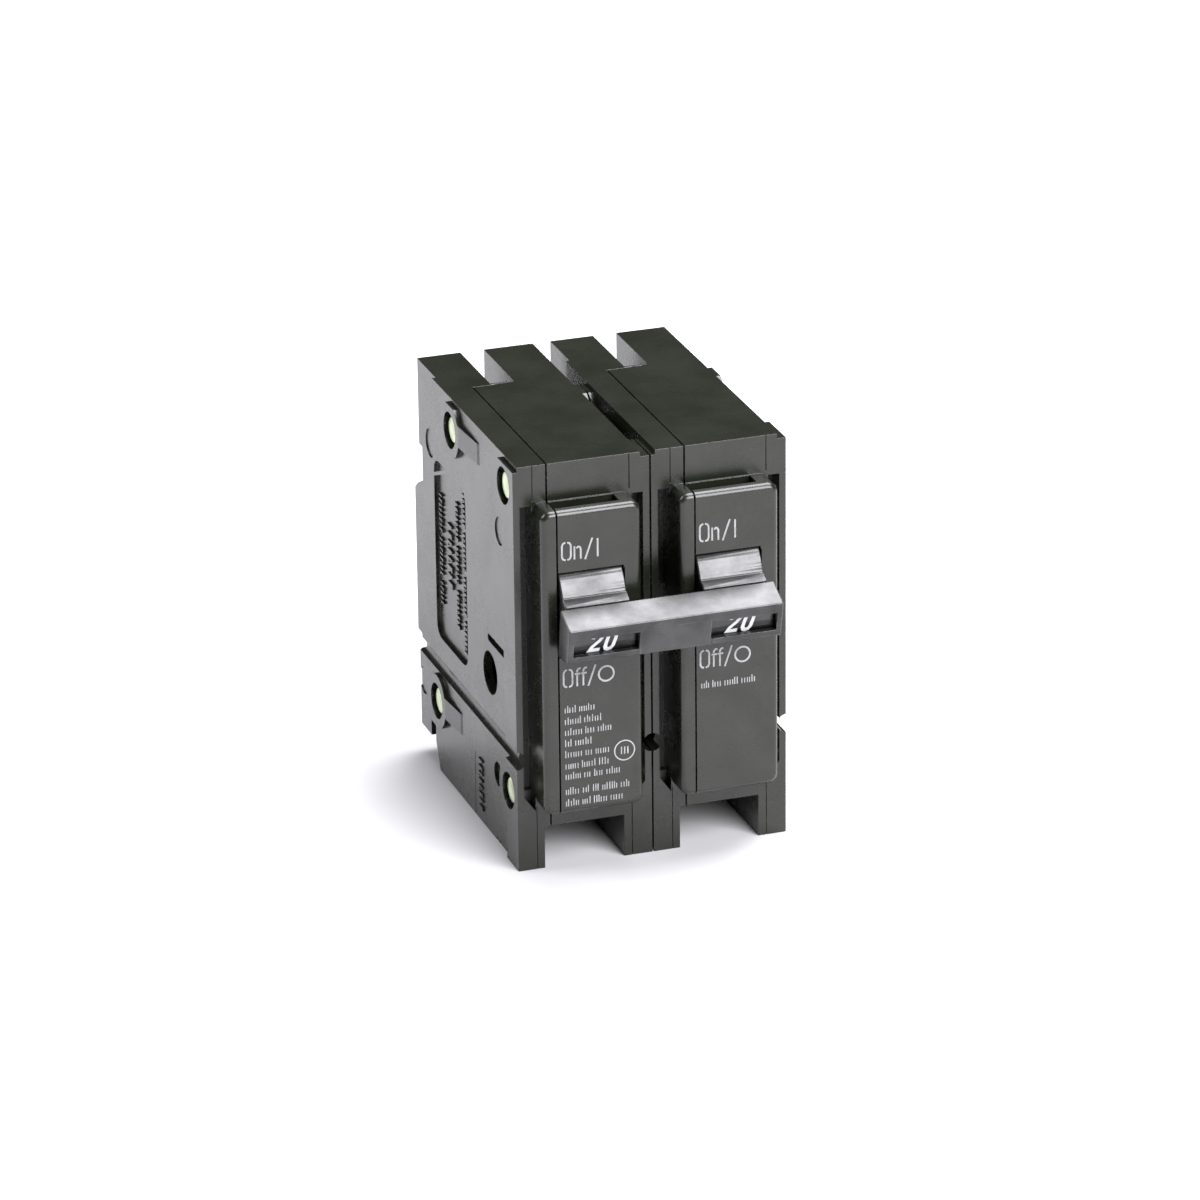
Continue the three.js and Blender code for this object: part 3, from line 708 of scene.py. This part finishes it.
@dataclass
class Mouldings:
    """The cover and case of one pole."""

    side: Side
    rivets: tuple[YZ, ...] = ((5.4, 71.4), (36.0, 70.9), (5.2, 13.6), (47.1, 14.2))
    left_face: float = 0.9
    panel: float = 1.6
    counterbore: float = 3.38
    counterbore_floor: float = 1.93
    bar_hole: YZ = (16.9, 31.5)
    bar_hole_radius: float = 4.0
    passage_z: float = 21.2
    passage_radius: float = 1.75
    wide: float = 0.62

    def build(self) -> None:
        """Build both mouldings and their raised marks."""
        self.half("cover", self.cover_cuts())
        tails = [bar("x", 23.27, POLE_PITCH + 1, spot, 3.03) for spot in self.rivets]
        self.half("case", tails + self.mould_lines(21.5))
        self.legend()

    def half(self, word: str, cuts: list[Solid]) -> None:
        """Finish one moulding from its frame shape.

        Args:
            word: cover or case.
            cuts: what is cut from it besides the round holes that both share.
        """
        node = f"{word}_{self.side.word}"
        shape = cut_out(cad_shape(node, self.side), self.round_cuts() + cuts)
        publish(f"{node}_moulding", shape, self.side, "case", Slot.MOULDING, [node],
                wide=self.wide)

    def round_cuts(self) -> list[Solid]:
        """Fine round cutters that replace the frame's faceted walls."""
        cuts = [bar("y", -1, 62, (x, self.passage_z), self.passage_radius, 48)
                for x in (0, POLE_PITCH)]
        reach = POLE_PITCH + 1 if self.side is Side.LEFT else 21
        cuts.append(bar("x", -1, reach, self.bar_hole, self.bar_hole_radius))
        return cuts

    def disc(self, spot: YZ, radius: float, face: float, depth: float) -> Solid:
        """A shallow round recess in the left side."""
        return bar("x", -1, face + depth, spot, radius, 48)

    def cover_cuts(self) -> list[Solid]:
        """Counterbores, ejector marks, the side slot's ends, the strip gauge and nicks."""
        face = self.left_face
        cuts = [bar("x", -1, self.counterbore_floor, spot, self.counterbore)
                for spot in self.rivets]
        cuts += [self.disc(*mark) for mark in (
            ((10.15, 61), 2.6, face, 0.22), ((52.4, 62.5), 2.7, self.panel, 0.22),
            ((57.0, 14.3), 2.6, face, 0.22), ((13.3, 13.3), 2.3, face, 0.75),
            ((47.4, 59.9), 0.6, face, 0.6))]
        slot = [(y + 0.68 * math.cos(turn), 38.15 + 0.68 * math.sin(turn))
                for y, first in ((6.95, math.pi / 2), (17.35, -math.pi / 2))
                for turn in (first + math.pi * step / 12 for step in range(13))]
        cuts.append(prism(slot, -1, 2.13))
        cuts.append(block(-1, face + 0.3, 26.6, 26.85, -1, 12.4))
        cuts += [block(-1, 5.6, y - 0.3, y + 0.3, -1, 0.5) for y in (5.8, 8.9, 12.4, 14.3)]
        return cuts + self.mould_lines(3.7)

    def mould_lines(self, x: float) -> list[Solid]:
        """Hairline grooves where the mould's slides met, on the band and the leg."""
        return [block(x - 0.08, x + 0.08, -0.5, 0.22, 69.9, 77),
                block(x - 0.08, x + 0.08, -0.5, 0.22, -1, 12)]

    def legend(self) -> None:
        """Raised ticks in the side panel and beside the strip gauge."""
        shape = bmesh.new()
        rows = ((32.0, 1.6, 0.95, 28.6, 60.9), (36.3, 1.6, 0.95, 31.2, 56.8),
                (40.7, 2.6, 1.6, 37.8, 51.0), (45.7, 1.6, 0.95, 32.9, 55.1))
        for y, height, pitch, z0, z1 in rows:
            add_ticks(shape, y, height, pitch, z0, z1, self.panel - 0.4, self.panel + 0.1)
        add_ticks(shape, 23.1, 2.2, 1.3, 1.5, 12.3, self.left_face - 0.3, self.left_face + 0.1)
        publish(f"side_marks_{self.side.word}", shape, self.side, "case", Slot.MOULDING)


def add_ticks(bm: Solid, y: float, height: float, pitch: float, z0: float, z1: float,
              x0: float, x1: float) -> None:
    """Add a row of upright ticks that runs down a side face.

    Args:
        bm: the shape that gets them.
        y: the middle of the row.
        height: a full tick's length along Y.
        pitch: from tick to tick along Z.
        z0: the row's lower end.
        z1: the row's upper end.
        x0: the ticks' outer side.
        x1: the ticks' foot.
    """
    for index in range(int((z1 - z0) / pitch)):
        if index % 9 == 8:
            continue
        low, high = y - height / 2, y + height / 2
        top = z1 - index * pitch
        add_part(bm, block(x0, x1, low, high, top - pitch * 0.3, top))
        if index % 3:
            middle = low if index % 2 else high - height * 0.24
            add_part(bm, block(x0 + 0.02, x1, middle + 0.01, middle + height * 0.24 - 0.01,
                               top - pitch * 0.66, top - pitch * 0.28))


def add_part(bm: Solid, part: Solid) -> None:
    """Move a part into a larger shape and free it."""
    mesh = bpy.data.meshes.new("part")
    part.to_mesh(mesh)
    part.free()
    bm.from_mesh(mesh)
    bpy.data.meshes.remove(mesh)


# ---- Handles and tie ------------------------------------------------------------------------


@dataclass
class Lever:
    """The toggle's own geometry, shared by the handles and the tie."""

    pivot: YZ = (3.0, 50.15)
    dip: float = math.radians(9.5)
    half_at: tuple[float, float] = (11.87, 4.78)
    taper: float = 0.2726

    def at(self, u: float, v: float) -> YZ:
        """The [y, z] point u out along the lever from the pivot and v up from its middle."""
        y, z = self.pivot
        return (y - u * math.cos(self.dip) - v * math.sin(self.dip),
                z - u * math.sin(self.dip) + v * math.cos(self.dip))

    def half(self, u: float) -> float:
        """Half the lever's height, u out from the pivot."""
        return self.half_at[1] - self.taper * (u - self.half_at[0])

    def arc(self, radius: float, start: float, end: float, steps: int) -> list[YZ]:
        """Points on an arc about the pivot, between two angles in degrees."""
        angles = [math.radians(start + (end - start) * i / steps) for i in range(steps + 1)]
        return [(self.pivot[0] + radius * math.cos(a), self.pivot[1] + radius * math.sin(a))
                for a in angles]


@dataclass
class Handles:
    """Both toggles, the tie bar over them and the rating numerals."""

    lever: Lever
    x0: float = 6.5
    x1: float = 18.4
    barrel: float = 10.9
    shell: float = 2.0
    cheek: float = 1.8
    shield: tuple[float, float] = (125.0, 262.0)
    hang: tuple[float, float] = (9.0, 14.0)
    tie_start: float = 11.8
    tie_wall: float = 1.1
    tie_front: float = 17.0
    tie_lean: float = 0.2
    tie_x: tuple[float, float] = (5.4, 44.9)

    def build(self) -> None:
        """Build every piece of the group."""
        for side in Side:
            self.toggle(side)
            self.numerals(side)
        self.tie()

    def toggle(self, side: Side) -> None:
        """One handle: barrel shield with its lever, cheeks and trunnions."""
        lever = self.lever
        shape = prism(self.outline(), self.x0, self.x1)
        soften(shape, 0.25, 3)
        start, end = self.shield
        fan = lever.arc(self.barrel - 0.3, start + 2, end - 2, 30) + [lever.pivot]
        angle = math.radians(self.hang[1])
        along = (math.cos(angle), math.sin(angle))
        hang = (lever.pivot[0] + self.hang[0] * along[0], lever.pivot[1] + self.hang[0] * along[1])
        link = [(lever.pivot[0] + reach * along[0] - across * along[1],
                 lever.pivot[1] + reach * along[1] + across * along[0])
                for reach, across in ((0, -2.6), (self.hang[0] - 1.7, -2.2),
                                      (self.hang[0] - 1.7, 2.2), (0, 2.6))]
        half = self.cheek / 2
        for middle in (self.x0 + half, self.x1 - half):
            for part in (prism(fan, middle - half + 0.02, middle + half),
                         bar("x", middle - half + 0.05, middle + half - 0.03, lever.pivot, 3.4),
                         prism(link, middle - half + 0.08, middle + half - 0.06),
                         eye(hang, 1.2, 2.35, middle - half + 0.11, middle + half - 0.09)):
                soften(part, 0.12, 1)
                add_part(shape, part)
        for a, b in ((5.3, self.x0 + 0.3), (self.x1 - 0.3, 20.3)):
            pin = bar("x", a, b, lever.pivot, 1.6, 32)
            soften(pin, 0.2)
            add_part(shape, pin)
        node = f"handle_{side.word}"
        publish(f"{node}_toggle", shape, side, "handles", Slot.HANDLE, [node], wide=1.2)

    def outline(self) -> list[YZ]:
        """The barrel shield with the lever growing out of it, thinner inside the tie."""
        lever = self.lever
        start, end = self.shield
        inset = self.tie_wall + 0.3
        neck = self.tie_start - 0.25
        middle = 180 + math.degrees(lever.dip)
        root = math.degrees(math.atan2(lever.half(9.45), 9.45))
        upper = [lever.at(10.2, lever.half(10.2)), lever.at(neck, lever.half(neck)),
                 lever.at(neck, lever.half(neck) - inset),
                 lever.at(15.75, lever.half(15.75) - inset)]
        lower = [lever.at(15.5, -lever.half(15.5) + inset),
                 lever.at(neck, -lever.half(neck) + inset),
                 lever.at(neck, -lever.half(neck)), lever.at(10.2, -lever.half(10.2))]
        return (lever.arc(self.barrel, start, middle - root, 14) + upper + lower
                + lever.arc(self.barrel, middle + root, end, 14)
                + lever.arc(self.barrel - self.shell, end, start, 32))

    def section(self, wall: float, start: float, end: float) -> list[YZ]:
        """The tie's section, or with a wall's thickness the room inside it."""
        lever = self.lever
        high, low = end + self.tie_lean, end - self.tie_lean
        return [lever.at(start, lever.half(start) - wall), lever.at(high, lever.half(high) - wall),
                lever.at(low, -lever.half(low) + wall), lever.at(start, -lever.half(start) + wall)]

    def tie(self) -> None:
        """The bar that joins the two toggles, with windows and a step between them."""
        lever = self.lever
        shape = prism(self.section(0, self.tie_start, self.tie_front), *self.tie_x)
        soften(shape, 0.28, 3)
        window = [lever.at(15, 1.4), lever.at(18, 1.4), lever.at(18, -2.2), lever.at(15, -2.2)]
        room = self.section(self.tie_wall, self.tie_start - 1, self.tie_front - 0.95)
        step = [lever.at(16.85, 1.75), lever.at(18, 1.75), lever.at(18, -5), lever.at(16.6, -5)]
        cuts = [prism(step, 18.85, 32.05)]
        for shift in (0, POLE_PITCH):
            cuts += [prism(room, self.x0 + shift - 0.3, self.x1 + shift + 0.3),
                     prism(window, self.x0 + shift - 0.1, self.x1 + shift + 0.1)]
        shape = cut_out(shape, cuts)
        publish("handle_tie_bar", shape, Side.LEFT, "handles", Slot.HANDLE, ["handle_tie"],
                wide=1.2)

    def numerals(self, side: Side) -> None:
        """The rating on the handle's face, behind the tie's window."""
        lever = self.lever
        top = Vector((0, *lever.at(15.75, lever.half(15.75) - 1.4)))
        low = Vector((0, *lever.at(15.5, -lever.half(15.5) + 1.4)))
        up = (top - low).normalized()
        out = Vector((1, 0, 0)).cross(up)
        base = low + up * 0.1 + out * 0.04 + Vector((9.5, 0, 0))
        turn = Matrix((Vector((1, 0, 0)), up, out)).transposed().to_4x4()
        slant = Matrix.Identity(4)
        slant[0][1] = 0.27
        letters = StrokeLetters(height=4.0, line=0.66, thickness=0.05)
        shape = letters.shape("20", (0.0, 2.6), Matrix.Translation(base) @ turn @ slant)
        publish(f"rating_{side.word}", shape, side, "handles", Slot.HANDLE,
                material=RATING_INK)


# ---- Printing -------------------------------------------------------------------------------


STROKES: dict[str, list[list[tuple[float, float]]]] = {
    "O": [[(0.21, 0.985), (0.08, 0.93), (0.02, 0.8), (0.02, 0.2), (0.08, 0.07), (0.21, 0.015)],
          [(0.31, 0.985), (0.44, 0.93), (0.5, 0.8), (0.5, 0.2), (0.44, 0.07), (0.31, 0.015)]],
    "n": [[(0.06, 0.0), (0.06, 0.72)],
          [(0.17, 0.6), (0.25, 0.68), (0.34, 0.66), (0.4, 0.55), (0.4, 0.0)]],
    "/": [[(0.0, -0.06), (0.4, 1.06)]],
    "I": [[(0.05, 0.0), (0.05, 1.0)]],
    "f": [[(0.12, 0.0), (0.12, 0.62)],
          [(0.0, 0.69), (0.3, 0.69)],
          [(0.12, 0.77), (0.13, 0.88), (0.21, 0.97), (0.32, 0.98)]],
    "2": [[(0.02, 0.68), (0.05, 0.85), (0.16, 0.95), (0.32, 0.95), (0.43, 0.85), (0.43, 0.7),
           (0.36, 0.56), (0.1, 0.27), (0.04, 0.1), (0.5, 0.1)]],
    "0": [[(0.25, 0.94), (0.36, 0.9), (0.43, 0.78), (0.44, 0.5), (0.43, 0.22), (0.36, 0.1),
           (0.25, 0.06), (0.14, 0.1), (0.07, 0.22), (0.06, 0.5), (0.07, 0.78), (0.14, 0.9),
           (0.25, 0.94)]],
}


@dataclass
class StrokeLetters:
    """Plain lettering drawn as strokes of one width."""

    height: float
    line: float
    thickness: float = 0.04

    def shape(self, words: str, starts: Sequence[float], place: Matrix) -> Solid:
        """Set words in a plane.

        Args:
            words: the letters.
            starts: where each letter starts.
            place: from the letters' plane to the pole's millimetres.

        Returns:
            The letters as thin solids in one bmesh.
        """
        whole = bmesh.new()
        for letter, start in zip(words, starts):
            for path in STROKES[letter]:
                points = [Vector((start + x * self.height, z * self.height)) for x, z in path]
                add_part(whole, self.stroke(points))
        bmesh.ops.transform(whole, matrix=place, verts=whole.verts)
        bmesh.ops.recalc_face_normals(whole, faces=whole.faces)
        return whole

    def stroke(self, points: list[Vector]) -> Solid:
        """One stroke: a strip round a path, a loop if the path ends where it starts.

        Args:
            points: the path in the letters' plane.

        Returns:
            A closed bmesh.
        """
        loop = (points[0] - points[-1]).length < 1e-6
        bm = bmesh.new()
        pairs = []
        count = len(points) - 1
        for index in range(count + (0 if loop else 1)):
            before = points[index] - points[(index - 1) % count] if index or loop else None
            after = points[index + 1] - points[index] if index < count else None
            before = before or after
            after = after or before
            along = before.normalized() + after.normalized()
            across = Vector((-along.y, along.x)).normalized()
            lean = across.dot(Vector((-after.y, after.x)).normalized())
            reach = across * (self.line / 2 / max(lean, 0.4))
            pairs.append([bm.verts.new((*(points[index] + sign * reach), 0)) for sign in (1, -1)])
        if loop:
            pairs.append(pairs[0])
        faces = [bm.faces.new((a[0], a[1], b[1], b[0])) for a, b in zip(pairs, pairs[1:])]
        carry(bm, faces, (0, 0, self.thickness))
        return bm


@dataclass
class NosePrinting:
    """The grey marks on one pole's nose."""

    side: Side
    front: float = -NOSE_OUT - 0.035
    back: float = -NOSE_OUT + 0.005

    def build(self) -> None:
        """Print the switch marks and the rows of small ticks."""
        self.mark("on_mark", "On/I", (0.0, 2.15, 4.3, 6.45), 7.1, 60.35)
        self.mark("off_mark", "Off/", (0.0, 2.15, 3.3, 4.6), 7.1, 36.45)
        ring = self.ring((15.05, 38.1), 1.22, 0.34)
        self.ink("off_ring", ring)
        self.small_print()

    def ink(self, name: str, shape: Solid) -> None:
        """Finish one printed piece."""
        publish(f"{name}_{self.side.word}", shape, self.side, "case", Slot.MOULDING,
                material=INK)

    def mark(self, name: str, words: str, starts: Sequence[float], x: float, z: float) -> None:
        """Print one word with its lower left corner at x and z."""
        place = Matrix.Translation((x, self.back, z)) @ Matrix.Rotation(math.pi / 2, 4, "X")
        shape = StrokeLetters(3.4, 0.32, self.back - self.front).shape(words, starts, place)
        self.ink(name, shape)

    def upright(self, x: float, z: float, width: float, height: float) -> Solid:
        """A thin printed bar."""
        return block(x, x + width, self.front, self.back, z, z + height)

    def ring(self, centre: tuple[float, float], radius: float, line: float) -> Solid:
        """A thin printed ring."""
        loop = [(radius, self.front), (radius + line, self.front), (radius + line, self.back),
                (radius, self.back), (radius, self.front)]
        return turned(loop, "y", centre, 40)

    def small_print(self) -> None:
        """Rows of plain ticks in place of small print, and a ring in place of a mark."""
        dice = random.Random(7 + self.side.value)
        rows = [(31.6, 13.2), (29.4, 12.4), (27.3, 14.0), (25.2, 10.2), (23.1, 13.8), (20.9, 15.0),
                (18.9, 17.0), (16.0, 18.6), (13.8, 16.8)]
        shape = bmesh.new()
        if self.side is Side.RIGHT:
            rows = [(32.6, 17.6)]
        else:
            add_part(shape, self.ring((18.3, 23.0), 1.75, 0.22))
            for x in (17.6, 18.2, 18.8):
                add_part(shape, self.upright(x, 22.3, 0.22, 1.4))
        for z, end in rows:
            x = 7.3
            while x < end:
                for _ in range(dice.randint(3, 7)):
                    add_part(shape, self.upright(x, z, 0.17, dice.choice((0.95, 0.95, 1.35))))
                    x += dice.choice((0.4, 0.46, 0.52))
                x += 0.42
        self.ink("small_marks", shape)


# ---- Metal and inner parts ------------------------------------------------------------------


@dataclass
class InnerParts:
    """The parts inside one pole whose frame shape is right: they get rounded edges."""

    side: Side

    def build(self) -> None:
        """Build each part from its node."""
        word = self.side.word
        listed = [
            ("contact_arm", f"arm_{word}", Slot.COPPER, 0.14),
            ("moving_contact", f"arm_{word}", Slot.SILVER, 0.12),
            ("stationary_contact", "case", Slot.SILVER, 0.1),
            ("line_jaw", "case", Slot.TINNED_COPPER, 0.12),
            ("jaw_spring", "case", Slot.SPRING_STEEL, 0.1),
            ("arc_holder", "case", Slot.FIBRE, 0.1),
            ("cradle", f"cradle_{word}", Slot.STEEL, 0.12),
            ("armature", f"armature_{word}", Slot.STEEL, 0.12),
            ("armature_spring", "case", Slot.SPRING_STEEL, 0.05),
            ("magnet_yoke", "case", Slot.STEEL, 0.15),
            ("bimetal", "case", Slot.BIMETAL, 0.1),
            ("load_strap", "case", Slot.TINNED_COPPER, 0.14),
            ("clamp_plate", f"clamp_{word}", Slot.ZINC_STEEL, 0.14),
            ("calibration_screw", "case", Slot.ZINC_STEEL, 0.1),
        ]
        parts = [(f"{part}_{word}", body, slot, edge) for part, body, slot, edge in listed]
        parts += [(f"arc_plate_{word}_{plate}", "case", Slot.STEEL, 0.1) for plate in range(1, 5)]
        for node, body, slot, edge in parts:
            shape = cad_shape(node, self.side)
            soften(shape, edge, 2, shortest=0.45)
            publish(f"{node}_part", shape, self.side, body, slot, [node])
        self.keep_plain(f"toggle_spring_{word}", Slot.SPRING_STEEL)
        self.keep_plain(f"braid_{word}", Slot.COPPER)

    def keep_plain(self, node: str, slot: Slot) -> None:
        """Dress a node that keeps its frame shape."""
        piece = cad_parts[node]
        piece.data.materials.clear()
        piece.data.materials.append(MATERIALS[slot])


@dataclass
class Screws:
    """The terminal screw of one pole."""

    side: Side
    axis: tuple[float, float] = (12.55, 5.6)
    head: float = 3.4
    shank: float = 2.0
    front: float = 19.4
    end: float = 33.6

    def build(self) -> None:
        """Turn the screw, cut its slot and cross, and run a thread along its shank."""
        profile = [(0, self.front), (self.head - 0.9, self.front),
                   (self.head - 0.35, self.front + 0.25),
                   (self.head, self.front + 0.8), (self.head, self.front + 2.5),
                   (self.head - 0.25, self.front + 2.8), (self.shank, self.front + 2.8)]
        crest = self.front + 3.4
        while crest < self.end - 1.2:
            profile += [(self.shank, crest), (self.shank - 0.28, crest + 0.4)]
            crest += 0.8
        profile += [(self.shank - 0.1, self.end - 0.8), (self.shank - 0.7, self.end), (0, self.end)]
        shape = turned(profile, "y", self.axis, 48)
        x, z = self.axis
        slot = block(x - 0.5, x + 0.5, self.front - 1, self.front + 1.2, z - 4, z + 4)
        cross = block(x - 1.7, x + 1.7, self.front - 1, self.front + 1.0, z - 0.5, z + 0.5)
        shape = cut_out(shape, [slot, cross])
        soften(shape, 0.1, 1, angle=60)
        node = f"terminal_screw_{self.side.word}"
        publish(f"{node}_part", shape, self.side, f"screw_{self.side.word}", Slot.ZINC_STEEL,
                [node])


@dataclass
class Rivets:
    """The tubular rivets that hold both poles together."""

    spots: tuple[YZ, ...]
    head: float = 2.4
    shank: float = 1.45
    left: float = 0.7
    right: float = 50.3

    def build(self) -> None:
        """Build each rivet with a flat head and a rolled tail."""
        for index, spot in enumerate(self.spots):
            node = f"rivet_{index + 1}"
            shape = turned(self.profile(), "x", spot, 48)
            publish(f"{node}_part", shape, Side.LEFT, "case", Slot.ZINC_STEEL, [node])

    def profile(self) -> list[tuple[float, float]]:
        """The rivet's half section: flat head, shank, rolled rim and hollow tail."""
        left, right = self.left, self.right
        return [
            (0, left + 0.06), (1.1, left + 0.04), (1.25, left), (2.1, left),
            (2.32, left + 0.1), (self.head, left + 0.35), (self.head - 0.1, left + 0.8),
            (self.shank, left + 0.95), (self.shank, right - 0.95),
            (2.1, right - 0.85), (2.2, right - 0.5), (2.0, right - 0.15), (1.6, right),
            (1.15, right - 0.1), (0.9, right - 0.4), (0.8, right - 0.9), (0, right - 0.9),
        ]


def trip_crossbar() -> None:
    """The bar that carries a trip from one pole to the other."""
    shape = cad_shape("trip_crossbar", Side.LEFT)
    soften(shape, 0.2, 2)
    publish("trip_crossbar_part", shape, Side.LEFT, "trip_bar", Slot.HANDLE, ["trip_crossbar"])


# ---- Studio ---------------------------------------------------------------------------------


@dataclass
class Studio:
    """Floor, lights and camera."""

    azimuth: float = math.radians(18.77)
    elevation: float = math.radians(22.09)
    roll: float = math.radians(-0.63)
    distance: float = 1.187
    target: Vector = Vector((0, 0.00226, 0.038))
    lens: float = 198.3
    sensor: float = 36.0
    shift: tuple[float, float] = (-0.0045, 0.0039)

    def build(self) -> None:
        """Set up the whole studio."""
        self.floor()
        self.lights()
        self.camera()

    def floor(self) -> None:
        """A wide pale floor."""
        build = MaterialBuilder("pale_floor")
        tone = build.group(MOTTLE, Dark=(0.58, 0.58, 0.58, 1), Light=(0.62, 0.62, 0.62, 1),
                           Scale=8.0)
        build.feed("Base Color", tone.outputs["Color"])
        build.feed("Roughness", 0.85)
        bm = bmesh.new()
        bmesh.ops.create_grid(bm, x_segments=2, y_segments=2, size=8.0)
        piece = to_object("floor", bm)
        piece.data.materials.append(build.material)

    def lights(self) -> None:
        """A softbox overhead, one high in front on the right, a left fill and a dim surround."""
        world = bpy.data.worlds.new("surround")
        bpy.context.scene.world = world
        world.use_nodes = True
        world.node_tree.nodes["Background"].inputs["Color"].default_value = (0.95, 0.95, 1, 1)
        world.node_tree.nodes["Background"].inputs["Strength"].default_value = 0.05
        self.softbox("overhead", (0.62, 0.36, 1.95), (1.5, 1.6), 92.0)
        self.softbox("front_right", (0.62, -1.5, 1.12), (1.5, 1.3), 84.0)
        self.softbox("left_fill", (-1.4, 0.5, 1.2), (0.9, 0.9), 22.0)

    def softbox(self, name: str, place: Sequence[float], size: tuple[float, float],
                power: float) -> None:
        """Place a rectangular area light aimed at the object.

        Args:
            name: the light's name.
            place: its middle in metres.
            size: its width and height in metres.
            power: in watts.
        """
        light = bpy.data.lights.new(name, "AREA")
        light.shape = "RECTANGLE"
        light.size, light.size_y = size
        light.energy = power
        light.color = (0.96, 0.95, 1.0)
        lamp = bpy.data.objects.new(name, light)
        bpy.context.scene.collection.objects.link(lamp)
        lamp.location = place
        lamp.rotation_euler = (Vector(place) - self.target).to_track_quat("Z", "Y").to_euler()

    def camera(self) -> None:
        """A long lens, looking down on the front and the left side."""
        data = bpy.data.cameras.new("camera")
        data.lens = self.lens
        data.sensor_width = self.sensor
        data.shift_x, data.shift_y = self.shift
        data.clip_start = 0.1
        data.clip_end = 20
        camera = bpy.data.objects.new("camera", data)
        bpy.context.scene.collection.objects.link(camera)
        sin_a, cos_a = math.sin(self.azimuth), math.cos(self.azimuth)
        sin_e, cos_e = math.sin(self.elevation), math.cos(self.elevation)
        forward = Vector((sin_a * cos_e, cos_a * cos_e, -sin_e))
        right = Vector((cos_a, -sin_a, 0))
        up = right.cross(forward)
        turned_right = right * math.cos(self.roll) + up * math.sin(self.roll)
        turned_up = up * math.cos(self.roll) - right * math.sin(self.roll)
        turn = Matrix((turned_right, turned_up, -forward)).transposed().to_4x4()
        camera.matrix_world = Matrix.Translation(self.target - forward * self.distance) @ turn
        bpy.context.scene.camera = camera


# ---- Assembly -------------------------------------------------------------------------------


def main() -> None:
    """Build the studio and every piece of the breaker."""
    logging.basicConfig(level=logging.INFO, format="%(name)s %(message)s")
    bpy.context.scene.view_settings.view_transform = "Standard"
    Studio().build()
    builders: list[Callable[[], None]] = []
    for side in Side:
        builders += [Mouldings(side).build, NosePrinting(side).build, InnerParts(side).build,
                     Screws(side).build]
    builders += [Handles(Lever()).build, Rivets(Mouldings.rivets).build, trip_crossbar]
    for build in builders:
        build()


if __name__ == "__main__":
    main()
